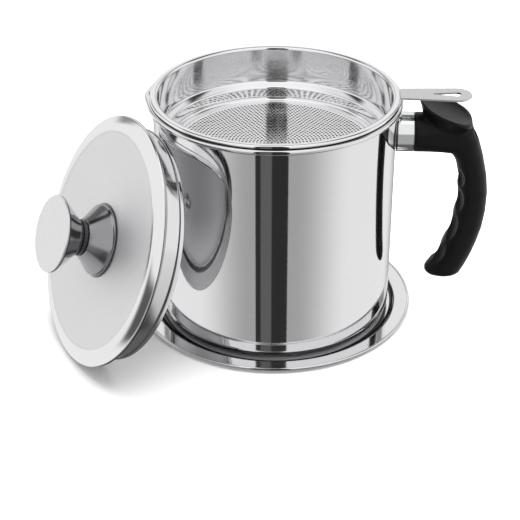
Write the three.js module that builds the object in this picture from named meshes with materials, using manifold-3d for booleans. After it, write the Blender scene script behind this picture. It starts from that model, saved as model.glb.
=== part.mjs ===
// A bacon grease container: a drawn steel pot with a pour lip and a bracketed C handle, a drop-in
// strainer with a long tab, a drip tray under the pot, and a lid with a waisted metal knob. The lid
// is off and leans on the pot, as it stands beside it in use.
// Millimetres, +Z up. The origin is on the pot's axis, on the underside of the tray. The handle
// points along +X and the pour lip along -X.
import * as THREE from 'three';
import { mergeGeometries, mergeVertices } from 'three/addons/utils/BufferGeometryUtils.js';
import Module from 'manifold-3d';

const wasm = await Module();
wasm.setup();

// Clearances
const gap = 0.3; // air left between two pieces that touch
const overrun = 1; // how far a cut runs past the face that it opens
const weldTolerance = 0.001; // points closer than this are one point

// Facet counts
const ringSteps = 48; // round the pot, strainer, tray and lid
const knobSteps = 24; // round the knob and the handle's arm
const pinSteps = 12; // round screws, washers and their holes
const bendSteps = 2; // along a small bend of a profile
const hexSides = 6; // of the nut, and of the holes in the perforated disc

// Pot
const potRadius = 68.3; // outside of the wall
const potWall = 0.9;
const potHeight = 131.2; // from its own underside to the top of the rim bead
const potCorner = 4.8; // outside radius of the bend between wall and bottom
const beadRadius = 2.1; // half width of the rolled rim
const beadHeightShare = 0.7; // its height against its width, as it is pressed a little flat
const lipReach = 2.7; // how far the pour lip's tip stands past the bead
const lipDepth = 22; // how far the throat of the lip runs down the wall
const lipTipShare = 0.12; // how blunt the tip is, as a share of the lip's half angle
const lipThroatShares = [0.7, 0.42]; // levels where the throat's curve has a point

// Drip tray
const traySheet = 0.8;
const trayClearance = 2.9; // between the pot's wall and the edge of the recess
const trayStep = 2; // width of the slope between recess and brim
const trayRise = 1.9; // height of the brim above the recess floor
const trayBrim = 7.5; // flat part of the brim
const trayHem = 0.75; // radius of the rolled edge

// Strainer
const strainerClearance = 1.3; // between the strainer's wall and the inside of the pot
const strainerSheet = 0.7;
const flangeReach = 3.9; // how far the flange stands past the strainer's wall
const flangeCrown = 1.9; // height of the rounded flange
const strainerWallDepth = 20.7; // from the flange's seat to the shoulder
const shoulderWidth = 4.6;
const shoulderDrop = 2.2;
const cupWallDepth = 7; // the narrower wall under the shoulder
const cupCorner = 2.4;
const floorRingWidth = 4.6; // plain ring round the perforated disc
const screenSheet = 0.7;
const screenLedge = 2.6; // how far the disc lies over its ledge
const screenHoleRadius = 2.2;
const screenPitch = 10.6; // between rings of holes, and between holes of a ring
const screenMargin = 6; // plain edge of the disc

// Strainer tab
const tabLength = 39.2; // from the flange to the rounded end
const tabRootWidth = 13.4;
const tabEndWidth = 17.8;
const tabSheet = 1.2;
const tabRise = 0.6; // how far its top stands over the crown of the flange
const slotLength = 15.6;
const slotWidth = 6.4;
const slotEndMargin = 6; // metal left between the slot and the tab's end
const slotNoseShare = 0.16; // radius of the narrow end against the wide end

// Handle bracket, stud and screw
const armDrop = 20.5; // from the pot's rim down to the axis of the handle's arm
const armRadius = 11.3;
const bracketLength = 9.9; // from the pot's wall to the bracket's mouth
const bracketWall = 1;
const bracketBase = 1.5;
const studRadius = 3.8;
const studLength = 8.4;
const studFloor = 1;
const screwRadius = 1.7;
const screwHeadRadius = 3.6;
const screwHeadHeight = 2.2;
const screwTipClearance = 1; // between the screw's tip and the floor of its bore
const washerRadius = 4;
const washerThickness = 0.8;
const driveWidth = 1.1; // arms of the cross recess
const driveDepth = 1.2;

// Grip
const gripReach = 54.1; // from the pot's wall to the grip's outermost point
const gripDropShare = 0.71; // from the arm's axis to the grip's lower end, against the pot's height
const gripWidthShare = 0.885; // half width of the grip against the arm's radius
const spigotLength = 2.6; // how far the grip plugs into the bracket
const counterboreSetback = 16.4; // from the grip's outermost point in to the floor of the screw's recess
const thumbSetback = 1.9; // from the arm's start to the nose of the thumb rest
const thumbLength = 30.2; // the thumb rest, from its nose to its back end
const thumbWidthShare = 1.45; // half width of the thumb rest against the arm's radius
const noseRise = 0.6; // how far the nose of the thumb rest stands over the pot's rim
const thumbFall = 12.5; // how far the thumb rest slopes down from nose to back
const thumbThickness = 11;
const thumbFlareShares = [[0.45, 1], [0.18, 0.4]]; // inset against its half width, drop against its thickness
const thumbDish = 2.4; // depth of the hollow in the thumb rest
const thumbEdge = 1.1; // width of the edge left round the hollow
const grooveDepth = 1.9; // of the finger grooves
const grooveWidthShare = 0.8; // half width of a groove against the grip's

// Lid
const lidSheet = 0.8;
const brimCrown = 3.1; // height of the brim's crown above its widest edge
const crownWidth = 7.5; // from the widest edge in to the crown
const brimRound = 1.4; // how full the brim's slope is, 1 for straight
const brimShares = [0.25, 0.6, 1]; // places between widest edge and crown where it has a point
const creaseWidth = 2; // from the crown in to the crease where the face starts
const faceHeight = 2.3; // of the face at that crease
const faceDish = 1; // how far the face sinks from there to the flat under the knob
const flatMargin = 1; // how far that flat reaches past the knob's base
const faceShares = [0.7, 0.35]; // places between crease and flat where the dish has a point
const brimReturn = 1.5; // how far the brim turns down behind its widest edge
const skirtClearance = 0.3; // between the lid's skirt and the inside of the strainer
const skirtDepth = 14.8; // from the brim's widest edge down to the skirt's hem
const skirtSheet = 0.7;
const hemWidth = 2.5; // height of the folded hem
const hemStep = 0.5; // how far the hem stands out of the skirt

// Knob
const knobBaseRadius = 20.2;
const knobBaseHeight = 11.3;
const knobBaseEdge = 2.4; // radius of the rounded edge of the base
const knobBaseFoot = 0.4; // height of the base's widest edge
const edgeAngle = 50; // degrees that the rounded edge turns before the slope starts
const slopeShares = [0.5, 1]; // heights where the slope has a point
const knobSweep = 1.15; // how hollow the base's slope is, 1 for straight
const neckRadius = 10.1;
const neckLength = 2.2;
const capRadius = 21.3;
const capHeight = 13.7;
const capWall = 1.2;
const capNeckShare = 0.95; // radius of the cap's foot against the neck
const capFloor = 1.4;
const faceThickness = 1.1;
const faceBevel = 0.5;
const nutRadius = 4.2;
const nutHeight = 3.4;
const lidScrewRadius = 2;
const lidScrewHeadRadius = 4.2;
const lidScrewHeadHeight = 2.4;
const lidWasherRadius = 6;

// Where the lid leans
const lidAzimuth = THREE.MathUtils.degToRad(209);
const leanShare = 0.9272; // height where it touches the pot's wall, against the skirt's diameter
const leanDrop = 8; // least distance from the rim down to that place

// Levels and radii that follow from the sizes above
const potBase = traySheet + gap;
const potTop = potBase + potHeight;
const beadCentreRadius = potRadius - potWall + beadRadius;
const beadCentreHeight = potTop - beadRadius * beadHeightShare;
const seatHeight = potTop + gap;
const strainerOuter = potRadius - potWall - strainerClearance;
const strainerInner = strainerOuter - strainerSheet;
const flangeRadius = strainerOuter + flangeReach;
const flangeMiddle = (strainerInner + flangeRadius) / 2;
const flangeHalf = (flangeRadius - strainerInner) / 2;
const cupOuter = strainerOuter - shoulderWidth;
const shoulderHeight = seatHeight - strainerWallDepth;
const cupFloorTop = shoulderHeight - shoulderDrop - cupWallDepth;
const screenRadius = cupOuter - strainerSheet - floorRingWidth;
const tabTop = seatHeight + flangeCrown + tabRise;
const skirtOuter = strainerInner - skirtClearance;
const brimRadius = flangeRadius; // the lid's brim covers the strainer's flange
const leanHeight = Math.min(2 * skirtOuter * leanShare, potTop - leanDrop);
const lidLean = Math.acos(leanHeight / (2 * skirtOuter)); // how far the lid's face looks up
const armHeight = potTop - armDrop;
const armStart = potRadius + bracketLength + gap;
const gripDrop = potHeight * gripDropShare;
const gripHalfWidth = armRadius * gripWidthShare;
const thumbHalfWidth = armRadius * thumbWidthShare;
const thumbRise = armDrop + noseRise;

// Materials
const material = (color, roughness, metalness) =>
  new THREE.MeshStandardMaterial({ color, roughness, metalness });
const polishedSteel = material(0xd2d3d4, 0.08, 1);
const satinSteel = material(0xbfc0c1, 0.3, 1);
const chromedSteel = material(0xdfe0e1, 0.05, 1);
const zincSteel = material(0xa9abad, 0.35, 1);
const blackBakelite = material(0x1d1d1f, 0.42, 0);
const darkCollar = material(0x2c2c2e, 0.3, 0.2);

// The points of a round bend, from one angle to another
function arc(centreX, centreY, radius, from, to, steps = bendSteps) {
  const points = [];
  for (let i = 0; i <= steps; i += 1) {
    const angle = THREE.MathUtils.degToRad(THREE.MathUtils.lerp(from, to, i / steps));
    points.push([centreX + radius * Math.cos(angle), centreY + radius * Math.sin(angle)]);
  }
  return points;
}

// A closed surface with shared points, no flat-out triangles and its faces pointing out
function tidy(source) {
  const bare = new THREE.BufferGeometry();
  bare.setAttribute('position', source.getAttribute('position').clone());
  if (source.index) bare.setIndex(source.index.clone());
  const merged = mergeVertices(bare, weldTolerance);
  const point = (i) => new THREE.Vector3().fromBufferAttribute(merged.getAttribute('position'), i);
  const index = merged.index.array;
  const kept = [];
  let volume = 0;
  for (let i = 0; i < index.length; i += 3) {
    const [a, b, c] = [index[i], index[i + 1], index[i + 2]];
    if (a === b || b === c || c === a) continue;
    kept.push(a, b, c);
    volume += point(a).dot(point(b).cross(point(c)));
  }
  if (volume < 0) kept.reverse();
  merged.setIndex(kept);
  return merged;
}

function toSolid(geometry) {
  const closed = tidy(geometry);
  const vertProperties = new Float32Array(closed.getAttribute('position').array);
  const triVerts = new Uint32Array(closed.index.array);
  return new wasm.Manifold(new wasm.Mesh({ numProp: 3, vertProperties, triVerts }));
}

function toGeometry(solid) {
  const mesh = solid.getMesh();
  const geometry = new THREE.BufferGeometry();
  geometry.setAttribute('position', new THREE.BufferAttribute(mesh.vertProperties, mesh.numProp));
  geometry.setIndex(new THREE.BufferAttribute(mesh.triVerts, 1));
  return geometry;
}

const cut = (body, ...tools) =>
  toGeometry(tools.reduce((solid, tool) => solid.subtract(toSolid(tool)), toSolid(body)));
const join = (body, ...others) =>
  toGeometry(others.reduce((solid, other) => solid.add(toSolid(other)), toSolid(body)));

// A profile of [radius, height] turned round the Z axis; it closes on itself or on the axis
function turn(profile, steps = ringSteps, closes = true) {
  const points = profile.map(([radius, height]) => new THREE.Vector2(radius, height));
  if (closes) points.push(points[0].clone());
  return new THREE.LatheGeometry(points, steps).rotateX(Math.PI / 2);
}

const turnSolid = (profile, steps = ringSteps) => turn(profile, steps, false);

// A plain round bar on the Z axis between two heights
function bar(radius, from, to, steps = pinSteps) {
  return turnSolid([[0, from], [radius, from], [radius, to], [0, to]], steps);
}

// Turns a shape made along Z so that it lies along +X at the height of the handle's arm
const alongArm = (geometry) => geometry.rotateY(Math.PI / 2).translate(0, 0, armHeight);

// A skin over rings of points, closed at both ends by a fan to the ring's middle
function loft(rings) {
  const count = rings[0].length;
  const points = rings.flat();
  const faces = [];
  for (let r = 0; r + 1 < rings.length; r += 1) {
    for (let i = 0; i < count; i += 1) {
      const a = r * count + i;
      const b = r * count + ((i + 1) % count);
      faces.push(a, b, a + count, b, b + count, a + count);
    }
  }
  [0, rings.length - 1].forEach((r, end) => {
    const middle = rings[r].reduce((sum, p) => sum.add(p), new THREE.Vector3()).divideScalar(count);
    points.push(middle);
    for (let i = 0; i < count; i += 1) {
      const pair = [r * count + i, r * count + ((i + 1) % count)];
      faces.push(...(end ? pair : pair.reverse()), points.length - 1);
    }
  });
  const geometry = new THREE.BufferGeometry().setFromPoints(points);
  geometry.setIndex(faces);
  return geometry;
}

// Drip tray: a pressed disc with a sunk floor for the pot and a flat brim with a rolled edge
function dripTray() {
  const recess = potRadius + trayClearance;
  const brimInner = recess + trayStep;
  const brimOuter = brimInner + trayBrim;
  const profile = [
    [0, 0],
    [recess, 0],
    [brimInner, trayRise],
    [brimOuter, trayRise],
    ...arc(brimOuter, trayRise + trayHem, trayHem, -60, 120, bendSteps + 2),
    [brimInner - traySheet / 2, trayRise + traySheet],
    [recess - traySheet / 2, traySheet],
    [0, traySheet],
  ];
  return turnSolid(profile);
}

// How far the pour lip moves a point of the pot's rim outwards: in plan the lip's sides run
// tangent to the round rim and meet in a blunt tip, and its throat fades out down the wall
function lipShift(radius, angle, height) {
  const drop = (potTop - height) / lipDepth;
  if (drop >= 1) return 0;
  const rim = beadCentreRadius + beadRadius;
  const halfAngle = Math.acos(rim / (rim + lipReach));
  const off = Math.hypot(angle, halfAngle * lipTipShare);
  if (off >= halfAngle) return 0;
  return radius * (1 / Math.cos(halfAngle - off) - 1) * (1 - drop) ** 2;
}

// Pot: wall, bottom and solid rolled bead in one drawn shell, with the lip pinched into its rim
function potBody() {
  const bendInner = potCorner - potWall;
  const bendCentre = potRadius - potCorner;
  const beadFoot = THREE.MathUtils.radToDeg(Math.acos((beadRadius - potWall) / beadRadius));
  const wallStart = potBase + potCorner;
  const throat = lipThroatShares.map((share) => potTop - lipDepth * share);
  const bead = arc(beadCentreRadius, 0, beadRadius, beadFoot - 180, 180, bendSteps * 3)
    .map(([x, y]) => [x, beadCentreHeight + y * beadHeightShare]);
  const profile = [
    [0, potBase],
    ...arc(bendCentre, wallStart, potCorner, -90, 0),
    [potRadius, potTop - lipDepth],
    ...throat.map((height) => [potRadius, height]),
    ...bead,
    ...throat.map((height) => [potRadius - potWall, height]).reverse(),
    [potRadius - potWall, potTop - lipDepth],
    ...arc(bendCentre, wallStart, bendInner, 0, -90),
    [0, potBase + potWall],
  ];
  const geometry = turnSolid(profile);
  const position = geometry.getAttribute('position');
  for (let i = 0; i < position.count; i += 1) {
    const radius = Math.hypot(position.getX(i), position.getY(i));
    const angle = Math.atan2(position.getY(i), -position.getX(i));
    const shift = radius > 0 ? lipShift(radius, angle, position.getZ(i)) / radius : 0;
    position.setX(i, position.getX(i) * (1 + shift));
    position.setY(i, position.getY(i) * (1 + shift));
  }
  return geometry;
}

// Strainer cup: a rounded flange that hangs on the pot's bead, a stepped wall, and a floor ring
// with a sunk ledge for the perforated disc
function strainerCup() {
  const crownStretch = flangeCrown / flangeHalf;
  const flange = arc(0, 0, flangeHalf, 180, 0, bendSteps * 2)
    .map(([x, y]) => [flangeMiddle + x, seatHeight + y * crownStretch]);
  const cupInner = cupOuter - strainerSheet;
  const shoulderFoot = shoulderHeight - shoulderDrop;
  const ledgeTop = cupFloorTop - screenSheet - gap;
  const ledgeInner = screenRadius - screenLedge;
  const profile = [
    ...flange,
    [strainerOuter, seatHeight],
    [strainerOuter, shoulderHeight],
    [cupOuter, shoulderFoot],
    ...arc(cupOuter - cupCorner, cupFloorTop + cupCorner - strainerSheet, cupCorner, 0, -90),
    [screenRadius + gap + strainerSheet, cupFloorTop - strainerSheet],
    [screenRadius + gap, ledgeTop - strainerSheet],
    [ledgeInner, ledgeTop - strainerSheet],
    [ledgeInner, ledgeTop],
    [screenRadius + gap, ledgeTop],
    [screenRadius + gap, cupFloorTop],
    ...arc(cupInner - cupCorner, cupFloorTop + cupCorner, cupCorner, -90, 0),
    [cupInner, shoulderFoot + strainerSheet],
    [strainerInner, shoulderHeight + strainerSheet],
  ];
  return turn(profile);
}

// Perforated disc: rings of holes round one at the centre
function strainerScreen() {
  const bottom = cupFloorTop - screenSheet;
  const disc = bar(screenRadius, bottom, cupFloorTop, ringSteps);
  const last = screenRadius - screenMargin - screenHoleRadius;
  const holes = [];
  for (let ring = 0; ring * screenPitch <= last; ring += 1) {
    const radius = ring * screenPitch;
    const count = Math.max(1, Math.round(2 * Math.PI * ring));
    for (let i = 0; i < count; i += 1) {
      const angle = (2 * Math.PI * (i + ring / 2)) / count;
      const hole = bar(screenHoleRadius, bottom - overrun, cupFloorTop + overrun, hexSides);
      holes.push(tidy(hole.translate(radius * Math.cos(angle), radius * Math.sin(angle), 0)));
    }
  }
  return cut(disc, mergeGeometries(holes));
}

// Strainer tab: a flat strip that starts on the flange's outer slope and widens to a round end, with
// a long teardrop slot near it
function strainerTab() {
  const slopeShare = (tabTop - tabSheet - seatHeight) / flangeCrown;
  const rootStart = flangeMiddle + flangeHalf * Math.sqrt(Math.max(0, 1 - slopeShare ** 2)) + gap;
  const endRadius = tabEndWidth / 2;
  const endCentre = flangeRadius + tabLength - endRadius;
  const rootAngle = Math.asin(tabRootWidth / 2 / rootStart);
  const outline = new THREE.Shape();
  outline.moveTo(rootStart * Math.cos(rootAngle), tabRootWidth / 2);
  outline.absarc(0, 0, rootStart, rootAngle, -rootAngle, true);
  outline.lineTo(endCentre, -endRadius);
  outline.absarc(endCentre, 0, endRadius, -Math.PI / 2, Math.PI / 2, false);
  outline.closePath();
  const wide = slotWidth / 2;
  const nose = wide * slotNoseShare;
  const wideCentre = endCentre + endRadius - slotEndMargin - wide;
  const noseCentre = wideCentre + wide - slotLength + nose;
  const side = Math.acos((wide - nose) / (wideCentre - noseCentre));
  const slot = new THREE.Path();
  slot.absarc(wideCentre, 0, wide, -side, side, false);
  slot.absarc(noseCentre, 0, nose, side, -side, false);
  slot.closePath();
  outline.holes.push(slot);
  const settings = { depth: tabSheet, bevelEnabled: false, curveSegments: bendSteps * 4 };
  return new THREE.ExtrudeGeometry(outline, settings).translate(0, 0, tabTop - tabSheet);
}

// Handle bracket: a round cup whose base follows the pot's wall and whose mouth takes the grip
function handleBracket() {
  const mouth = potRadius + bracketLength;
  const inner = potRadius + gap + bracketBase;
  const cup = turnSolid([
    [0, potRadius - potWall - armRadius],
    [armRadius, potRadius - potWall - armRadius],
    [armRadius, mouth],
    [armRadius - bracketWall, mouth],
    [armRadius - bracketWall, inner],
    [0, inner],
  ], knobSteps);
  const wall = bar(potRadius + gap, -armRadius - overrun, armRadius + overrun, ringSteps);
  return cut(alongArm(cup), wall.translate(0, 0, armHeight));
}

// Handle stud: a threaded boss on the base of the bracket, which takes the handle's screw
function handleStud() {
  const start = potRadius + gap + bracketBase + gap;
  return alongArm(turnSolid([
    [0, start],
    [studRadius, start],
    [studRadius, start + studLength],
    [screwRadius + gap, start + studLength],
    [screwRadius + gap, start + studFloor],
    [0, start + studFloor],
  ], knobSteps));
}

// A machine screw along Z: a flat tip at the first height, the head's seat at the second
function machineScrew(shank, head, headHeight, tip, seat) {
  const rounding = headHeight / 2;
  const blank = turnSolid([
    [0, tip],
    [shank, tip],
    [shank, seat],
    [head, seat],
    [head, seat + headHeight - rounding],
    [head - rounding, seat + headHeight],
    [0, seat + headHeight],
  ], pinSteps);
  const arm = new THREE.BoxGeometry(head, driveWidth, driveDepth + overrun);
  arm.translate(0, 0, seat + headHeight - driveDepth + (driveDepth + overrun) / 2);
  return cut(blank, join(arm, arm.clone().rotateZ(Math.PI / 2)));
}

// A plain washer along Z
function washer(hole, radius, from, thickness) {
  const to = from + thickness;
  return turn([[hole, from], [radius, from], [radius, to], [hole, to]], pinSteps);
}

// Grip
const armEnd = potRadius + gripReach;
const gripBottom = armHeight - gripDrop;
const counterboreFloor = armEnd - counterboreSetback;
const studEnd = potRadius + gap + bracketBase + gap + studLength;

// The grip's sections from the arm round the elbow to the lower end. Each has its inner edge and
// its outer edge, as shares of the way from the arm's start to the outermost point and from the
// arm's axis down to the lower end, its half width, and how square it is.
const gripSectionShares = [
  [0.216, 0.121, 0.216, -0.121, 1.11, 2.05],
  [0.376, 0.123, 0.421, -0.119, 1.07, 2.2],
  [0.49, 0.127, 0.604, -0.108, 1.03, 2.3],
  [0.531, 0.156, 0.745, -0.054, 1, 2.4],
  [0.554, 0.18, 0.822, 0.019, 1, 2.4],
  [0.576, 0.223, 0.9, 0.137, 1, 2.4],
  [0.592, 0.293, 0.968, 0.271, 0.98, 2.4],
  [0.608, 0.384, 0.998, 0.389, 0.96, 2.4],
  [0.595, 0.486, 0.995, 0.518, 0.94, 2.4],
  [0.563, 0.583, 0.966, 0.631, 0.92, 2.4],
  [0.508, 0.685, 0.913, 0.73, 0.9, 2.4],
  [0.442, 0.77, 0.852, 0.824, 0.88, 2.3],
  [0.371, 0.843, 0.786, 0.903, 0.86, 2.2],
  [0.296, 0.896, 0.722, 0.968, 0.83, 2.1],
  [0.246, 0.929, 0.661, 0.988, 0.76, 2],
  [0.244, 0.957, 0.592, 0.996, 0.6, 2],
  [0.28, 0.982, 0.501, 1, 0.36, 2],
];

// The finger grooves: middle and half length of each, as shares of the drop
const grooveShares = [[0.277, 0.07], [0.432, 0.088], [0.626, 0.105], [0.813, 0.084]];

function gripSections() {
  const place = (x, z) => {
    const reach = THREE.MathUtils.lerp(armStart, armEnd, x);
    return new THREE.Vector3(reach, 0, THREE.MathUtils.lerp(armHeight, gripBottom, z));
  };
  const round = [armStart, armStart + spigotLength].map((x) => ({
    inner: new THREE.Vector3(x, 0, armHeight - armRadius),
    outer: new THREE.Vector3(x, 0, armHeight + armRadius),
    halfWidth: armRadius,
    power: 2,
  }));
  const shaped = gripSectionShares.map(([x0, z0, x1, z1, width, power]) => ({
    inner: place(x0, z0),
    outer: place(x1, z1),
    halfWidth: gripHalfWidth * width,
    power,
  }));
  return [...round, ...shaped];
}

// The ring of points of one section, a superellipse between its inner and its outer edge
function sectionRing({ inner, outer, halfWidth, power }) {
  const bulge = (value) => Math.sign(value) * Math.abs(value) ** (2 / power);
  return Array.from({ length: knobSteps }, (_, i) => {
    const angle = (2 * Math.PI * i) / knobSteps;
    const point = new THREE.Vector3().lerpVectors(inner, outer, (1 - bulge(Math.cos(angle))) / 2);
    point.y = halfWidth * bulge(Math.sin(angle));
    return point;
  });
}

// The thumb rest: a tilted round rim, wider than the arm, over a body that flares down into the elbow
function thumbRest() {
  const nose = armStart + thumbSetback;
  const ring = (inset, drop) => Array.from({ length: knobSteps }, (_, i) => {
    const angle = (2 * Math.PI * i) / knobSteps;
    const along = (1 - Math.cos(angle)) / 2;
    return new THREE.Vector3(
      THREE.MathUtils.lerp(nose + inset, nose + thumbLength - inset / 2, along),
      (thumbHalfWidth - inset) * Math.sin(angle),
      armHeight + thumbRise - thumbFall * along - drop,
    );
  });
  const flare = thumbFlareShares.map(([inset, drop]) => ring(thumbHalfWidth * inset, thumbThickness * drop));
  return loft([...flare, ring(0, thumbEdge), ring(thumbEdge / 4, 0)]);
}

// The hollow that is scooped out of the thumb rest, an ellipsoid laid along the tilted rim
function thumbHollow() {
  const tilt = Math.atan2(thumbFall, thumbLength);
  const halfLength = Math.hypot(thumbLength, thumbFall) / 2 - thumbEdge;
  return new THREE.SphereGeometry(1, knobSteps, bendSteps * 4)
    .rotateX(Math.PI / 2)
    .scale(halfLength, thumbHalfWidth - thumbEdge, thumbDish)
    .rotateY(tilt)
    .translate(armStart + thumbSetback + thumbLength / 2, 0, armHeight + thumbRise - thumbFall / 2);
}

// Four scoops along the inner side, each an ellipsoid set on the edge between two sections
function fingerGrooves(sections) {
  const edge = sections.map(({ inner }) => inner);
  return grooveShares.map(([middle, half]) => {
    const level = armHeight - gripDrop * middle;
    const next = edge.findIndex((point, i) => i > 0 && point.z < level && edge[i - 1].z >= level);
    const [above, below] = [edge[next - 1], edge[next]];
    const along = (above.z - level) / (above.z - below.z);
    const centre = new THREE.Vector3().lerpVectors(above, below, along);
    const slope = Math.atan2(above.x - below.x, above.z - below.z);
    return new THREE.SphereGeometry(1, pinSteps, bendSteps * 3)
      .scale(grooveDepth * 2, gripHalfWidth * grooveWidthShare, gripDrop * half)
      .rotateY(slope)
      .translate(centre.x - grooveDepth * Math.cos(slope), 0, level + grooveDepth * Math.sin(slope));
  });
}

// Grip: arm, elbow and hand piece in one moulding, with a spigot for the bracket's mouth, a socket
// for the stud, and a bore with a recess at the back for the screw
function handleGrip() {
  const sections = gripSections();
  const spigotRadius = armRadius - bracketWall - gap;
  const spigot = bar(spigotRadius, armStart - spigotLength, armStart + spigotLength, knobSteps);
  const body = join(loft(sections.map(sectionRing)), alongArm(spigot), thumbRest());
  const socket = bar(studRadius + gap, armStart - spigotLength - overrun, studEnd + gap, knobSteps);
  const bore = bar(screwRadius + gap, studEnd, armEnd);
  const recess = bar(washerRadius + gap, counterboreFloor, armEnd + overrun, knobSteps);
  const hollows = [socket, bore, recess].map(alongArm);
  return cut(body, ...hollows, thumbHollow(), ...fingerGrooves(sections));
}

function handleScrew() {
  const tip = studEnd - studLength + studFloor + screwTipClearance;
  const seat = counterboreFloor + gap + washerThickness + gap;
  return alongArm(machineScrew(screwRadius, screwHeadRadius, screwHeadHeight, tip, seat));
}

function handleWasher() {
  return alongArm(washer(screwRadius + gap, washerRadius, counterboreFloor + gap, washerThickness));
}

// The lid's pieces stand on the Z axis, with the widest edge of the brim at zero
const crownRadius = brimRadius - crownWidth;
const faceRadius = crownRadius - creaseWidth;
const faceCentre = faceHeight - faceDish;
const flatRadius = knobBaseRadius + flatMargin;
const knobFoot = faceCentre + gap;
const neckFoot = knobFoot + knobBaseHeight + gap;
const capFoot = neckFoot + neckLength + gap;
const capTop = capFoot + capHeight;
const nutFoot = capFoot + capFloor + gap;

// Lid cover: a dished face inside a rounded brim whose edge turns down
function lidCover() {
  const hole = lidScrewRadius + gap;
  const side = (inset) => {
    const edge = brimRadius - inset;
    const brim = brimShares.map((share) => [
      THREE.MathUtils.lerp(edge, crownRadius, share),
      (brimCrown - inset) * (1 - (1 - share) ** brimRound),
    ]);
    const dish = faceShares.map((share) => [
      THREE.MathUtils.lerp(flatRadius, faceRadius, share),
      faceCentre + faceDish * share ** 2 - inset,
    ]);
    return [
      [edge, -brimReturn],
      [edge, 0],
      ...brim,
      [faceRadius, faceHeight - inset],
      ...dish,
      [flatRadius, faceCentre - inset],
      [hole, faceCentre - inset],
    ];
  };
  return turn([...side(0), ...side(lidSheet).reverse()]);
}

// Lid skirt: the band that plugs into the strainer, with a folded hem and a flange under the crease
function lidSkirt() {
  const top = faceHeight - lidSheet - gap;
  const band = skirtOuter - hemStep;
  const hemTop = hemWidth - skirtDepth;
  return turn([
    [faceRadius, top],
    [band - skirtSheet, top],
    [band, top - skirtSheet],
    [band, hemTop + hemStep],
    [skirtOuter, hemTop],
    [skirtOuter, hemStep - skirtDepth],
    [band, -skirtDepth],
    [band - skirtSheet - hemStep, -skirtDepth],
    [band - skirtSheet - hemStep, hemTop],
    [band - skirtSheet, hemTop + hemStep],
    [band - skirtSheet, top - skirtSheet],
    [faceRadius, top - skirtSheet],
  ]);
}

// Knob base: a flared foot with a rounded edge, and a slope up to the neck
function knobBase() {
  const hole = lidScrewRadius + gap;
  const top = knobFoot + knobBaseHeight;
  const edgeCentre = knobBaseRadius - knobBaseEdge;
  const edge = arc(edgeCentre, knobFoot + knobBaseFoot, knobBaseEdge, 0, edgeAngle);
  const [edgeEnd, edgeTop] = edge.at(-1);
  const slope = slopeShares.map((share) => [
    THREE.MathUtils.lerp(neckRadius + gap, edgeEnd, (1 - share) ** knobSweep),
    THREE.MathUtils.lerp(edgeTop, top, share),
  ]);
  return turn([
    [hole, knobFoot],
    [knobBaseRadius, knobFoot],
    ...edge,
    ...slope,
    [hole, top],
  ], knobSteps);
}

// Knob neck: the dark collar between the two metal halves
function knobNeck() {
  const hole = lidScrewRadius + gap;
  return turn([
    [hole, neckFoot],
    [neckRadius, neckFoot],
    [neckRadius, neckFoot + neckLength],
    [hole, neckFoot + neckLength],
  ], knobSteps);
}

// Knob cap: a hollow cone that opens upwards and holds the nut on its floor
function knobCap() {
  const foot = neckRadius * capNeckShare;
  return turn([
    [lidScrewRadius + gap, capFoot],
    [foot, capFoot],
    [capRadius, capTop],
    [capRadius - capWall, capTop],
    [foot, capFoot + capFloor],
    [lidScrewRadius + gap, capFoot + capFloor],
  ], knobSteps);
}

// Knob face: the flat disc that closes the cap
function knobFace() {
  const bottom = capTop + gap;
  return turnSolid([
    [0, bottom],
    [capRadius, bottom],
    [capRadius, bottom + faceThickness - faceBevel],
    [capRadius - faceBevel, bottom + faceThickness],
    [0, bottom + faceThickness],
  ], knobSteps);
}

// Knob nut: a hexagon nut on the floor of the cap
function knobNut() {
  const nut = bar(nutRadius, nutFoot, nutFoot + nutHeight, hexSides);
  return cut(nut, bar(lidScrewRadius + gap, nutFoot - overrun, nutFoot + nutHeight + overrun));
}

const washerTop = faceCentre - lidSheet - gap;

// Knob screw: it comes up through the lid and the knob from below, into the nut
function knobScrew() {
  const seat = washerTop - washerThickness - gap;
  const tip = nutFoot + nutHeight;
  const screw = machineScrew(lidScrewRadius, lidScrewHeadRadius, lidScrewHeadHeight, -tip, -seat);
  return screw.rotateX(Math.PI);
}

function knobWasher() {
  return washer(lidScrewRadius + gap, lidWasherRadius, washerTop - washerThickness, washerThickness);
}

// The lid leans outwards on the table: its skirt stands on its lowest point and touches the pot's
// wall at its highest
function leaningLid() {
  const lid = new THREE.Group();
  const [rise, run] = [Math.sin(lidLean), Math.cos(lidLean)];
  const reach = potRadius + gap + skirtDepth * run + skirtOuter * rise;
  const height = Math.max(skirtDepth * rise + skirtOuter * run, brimReturn * rise + brimRadius * run);
  lid.position.set(reach * Math.cos(lidAzimuth), reach * Math.sin(lidAzimuth), height);
  lid.rotation.set(0, Math.PI / 2 - lidLean, lidAzimuth, 'ZYX');
  return lid;
}

function place(parent, name, geometry, finish) {
  const closed = tidy(geometry);
  closed.computeVertexNormals();
  const mesh = new THREE.Mesh(closed, finish);
  mesh.name = name;
  parent.add(mesh);
}

const container = new THREE.Group();
place(container, 'drip_tray', dripTray(), polishedSteel);
place(container, 'pot_body', potBody(), polishedSteel);
place(container, 'handle_bracket', handleBracket(), chromedSteel);
place(container, 'handle_stud', handleStud(), satinSteel);
place(container, 'handle_grip', handleGrip(), blackBakelite);
place(container, 'handle_screw', handleScrew(), zincSteel);
place(container, 'handle_washer', handleWasher(), zincSteel);
place(container, 'strainer_cup', strainerCup(), polishedSteel);
place(container, 'strainer_screen', strainerScreen(), satinSteel);
place(container, 'strainer_tab', strainerTab(), satinSteel);

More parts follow.
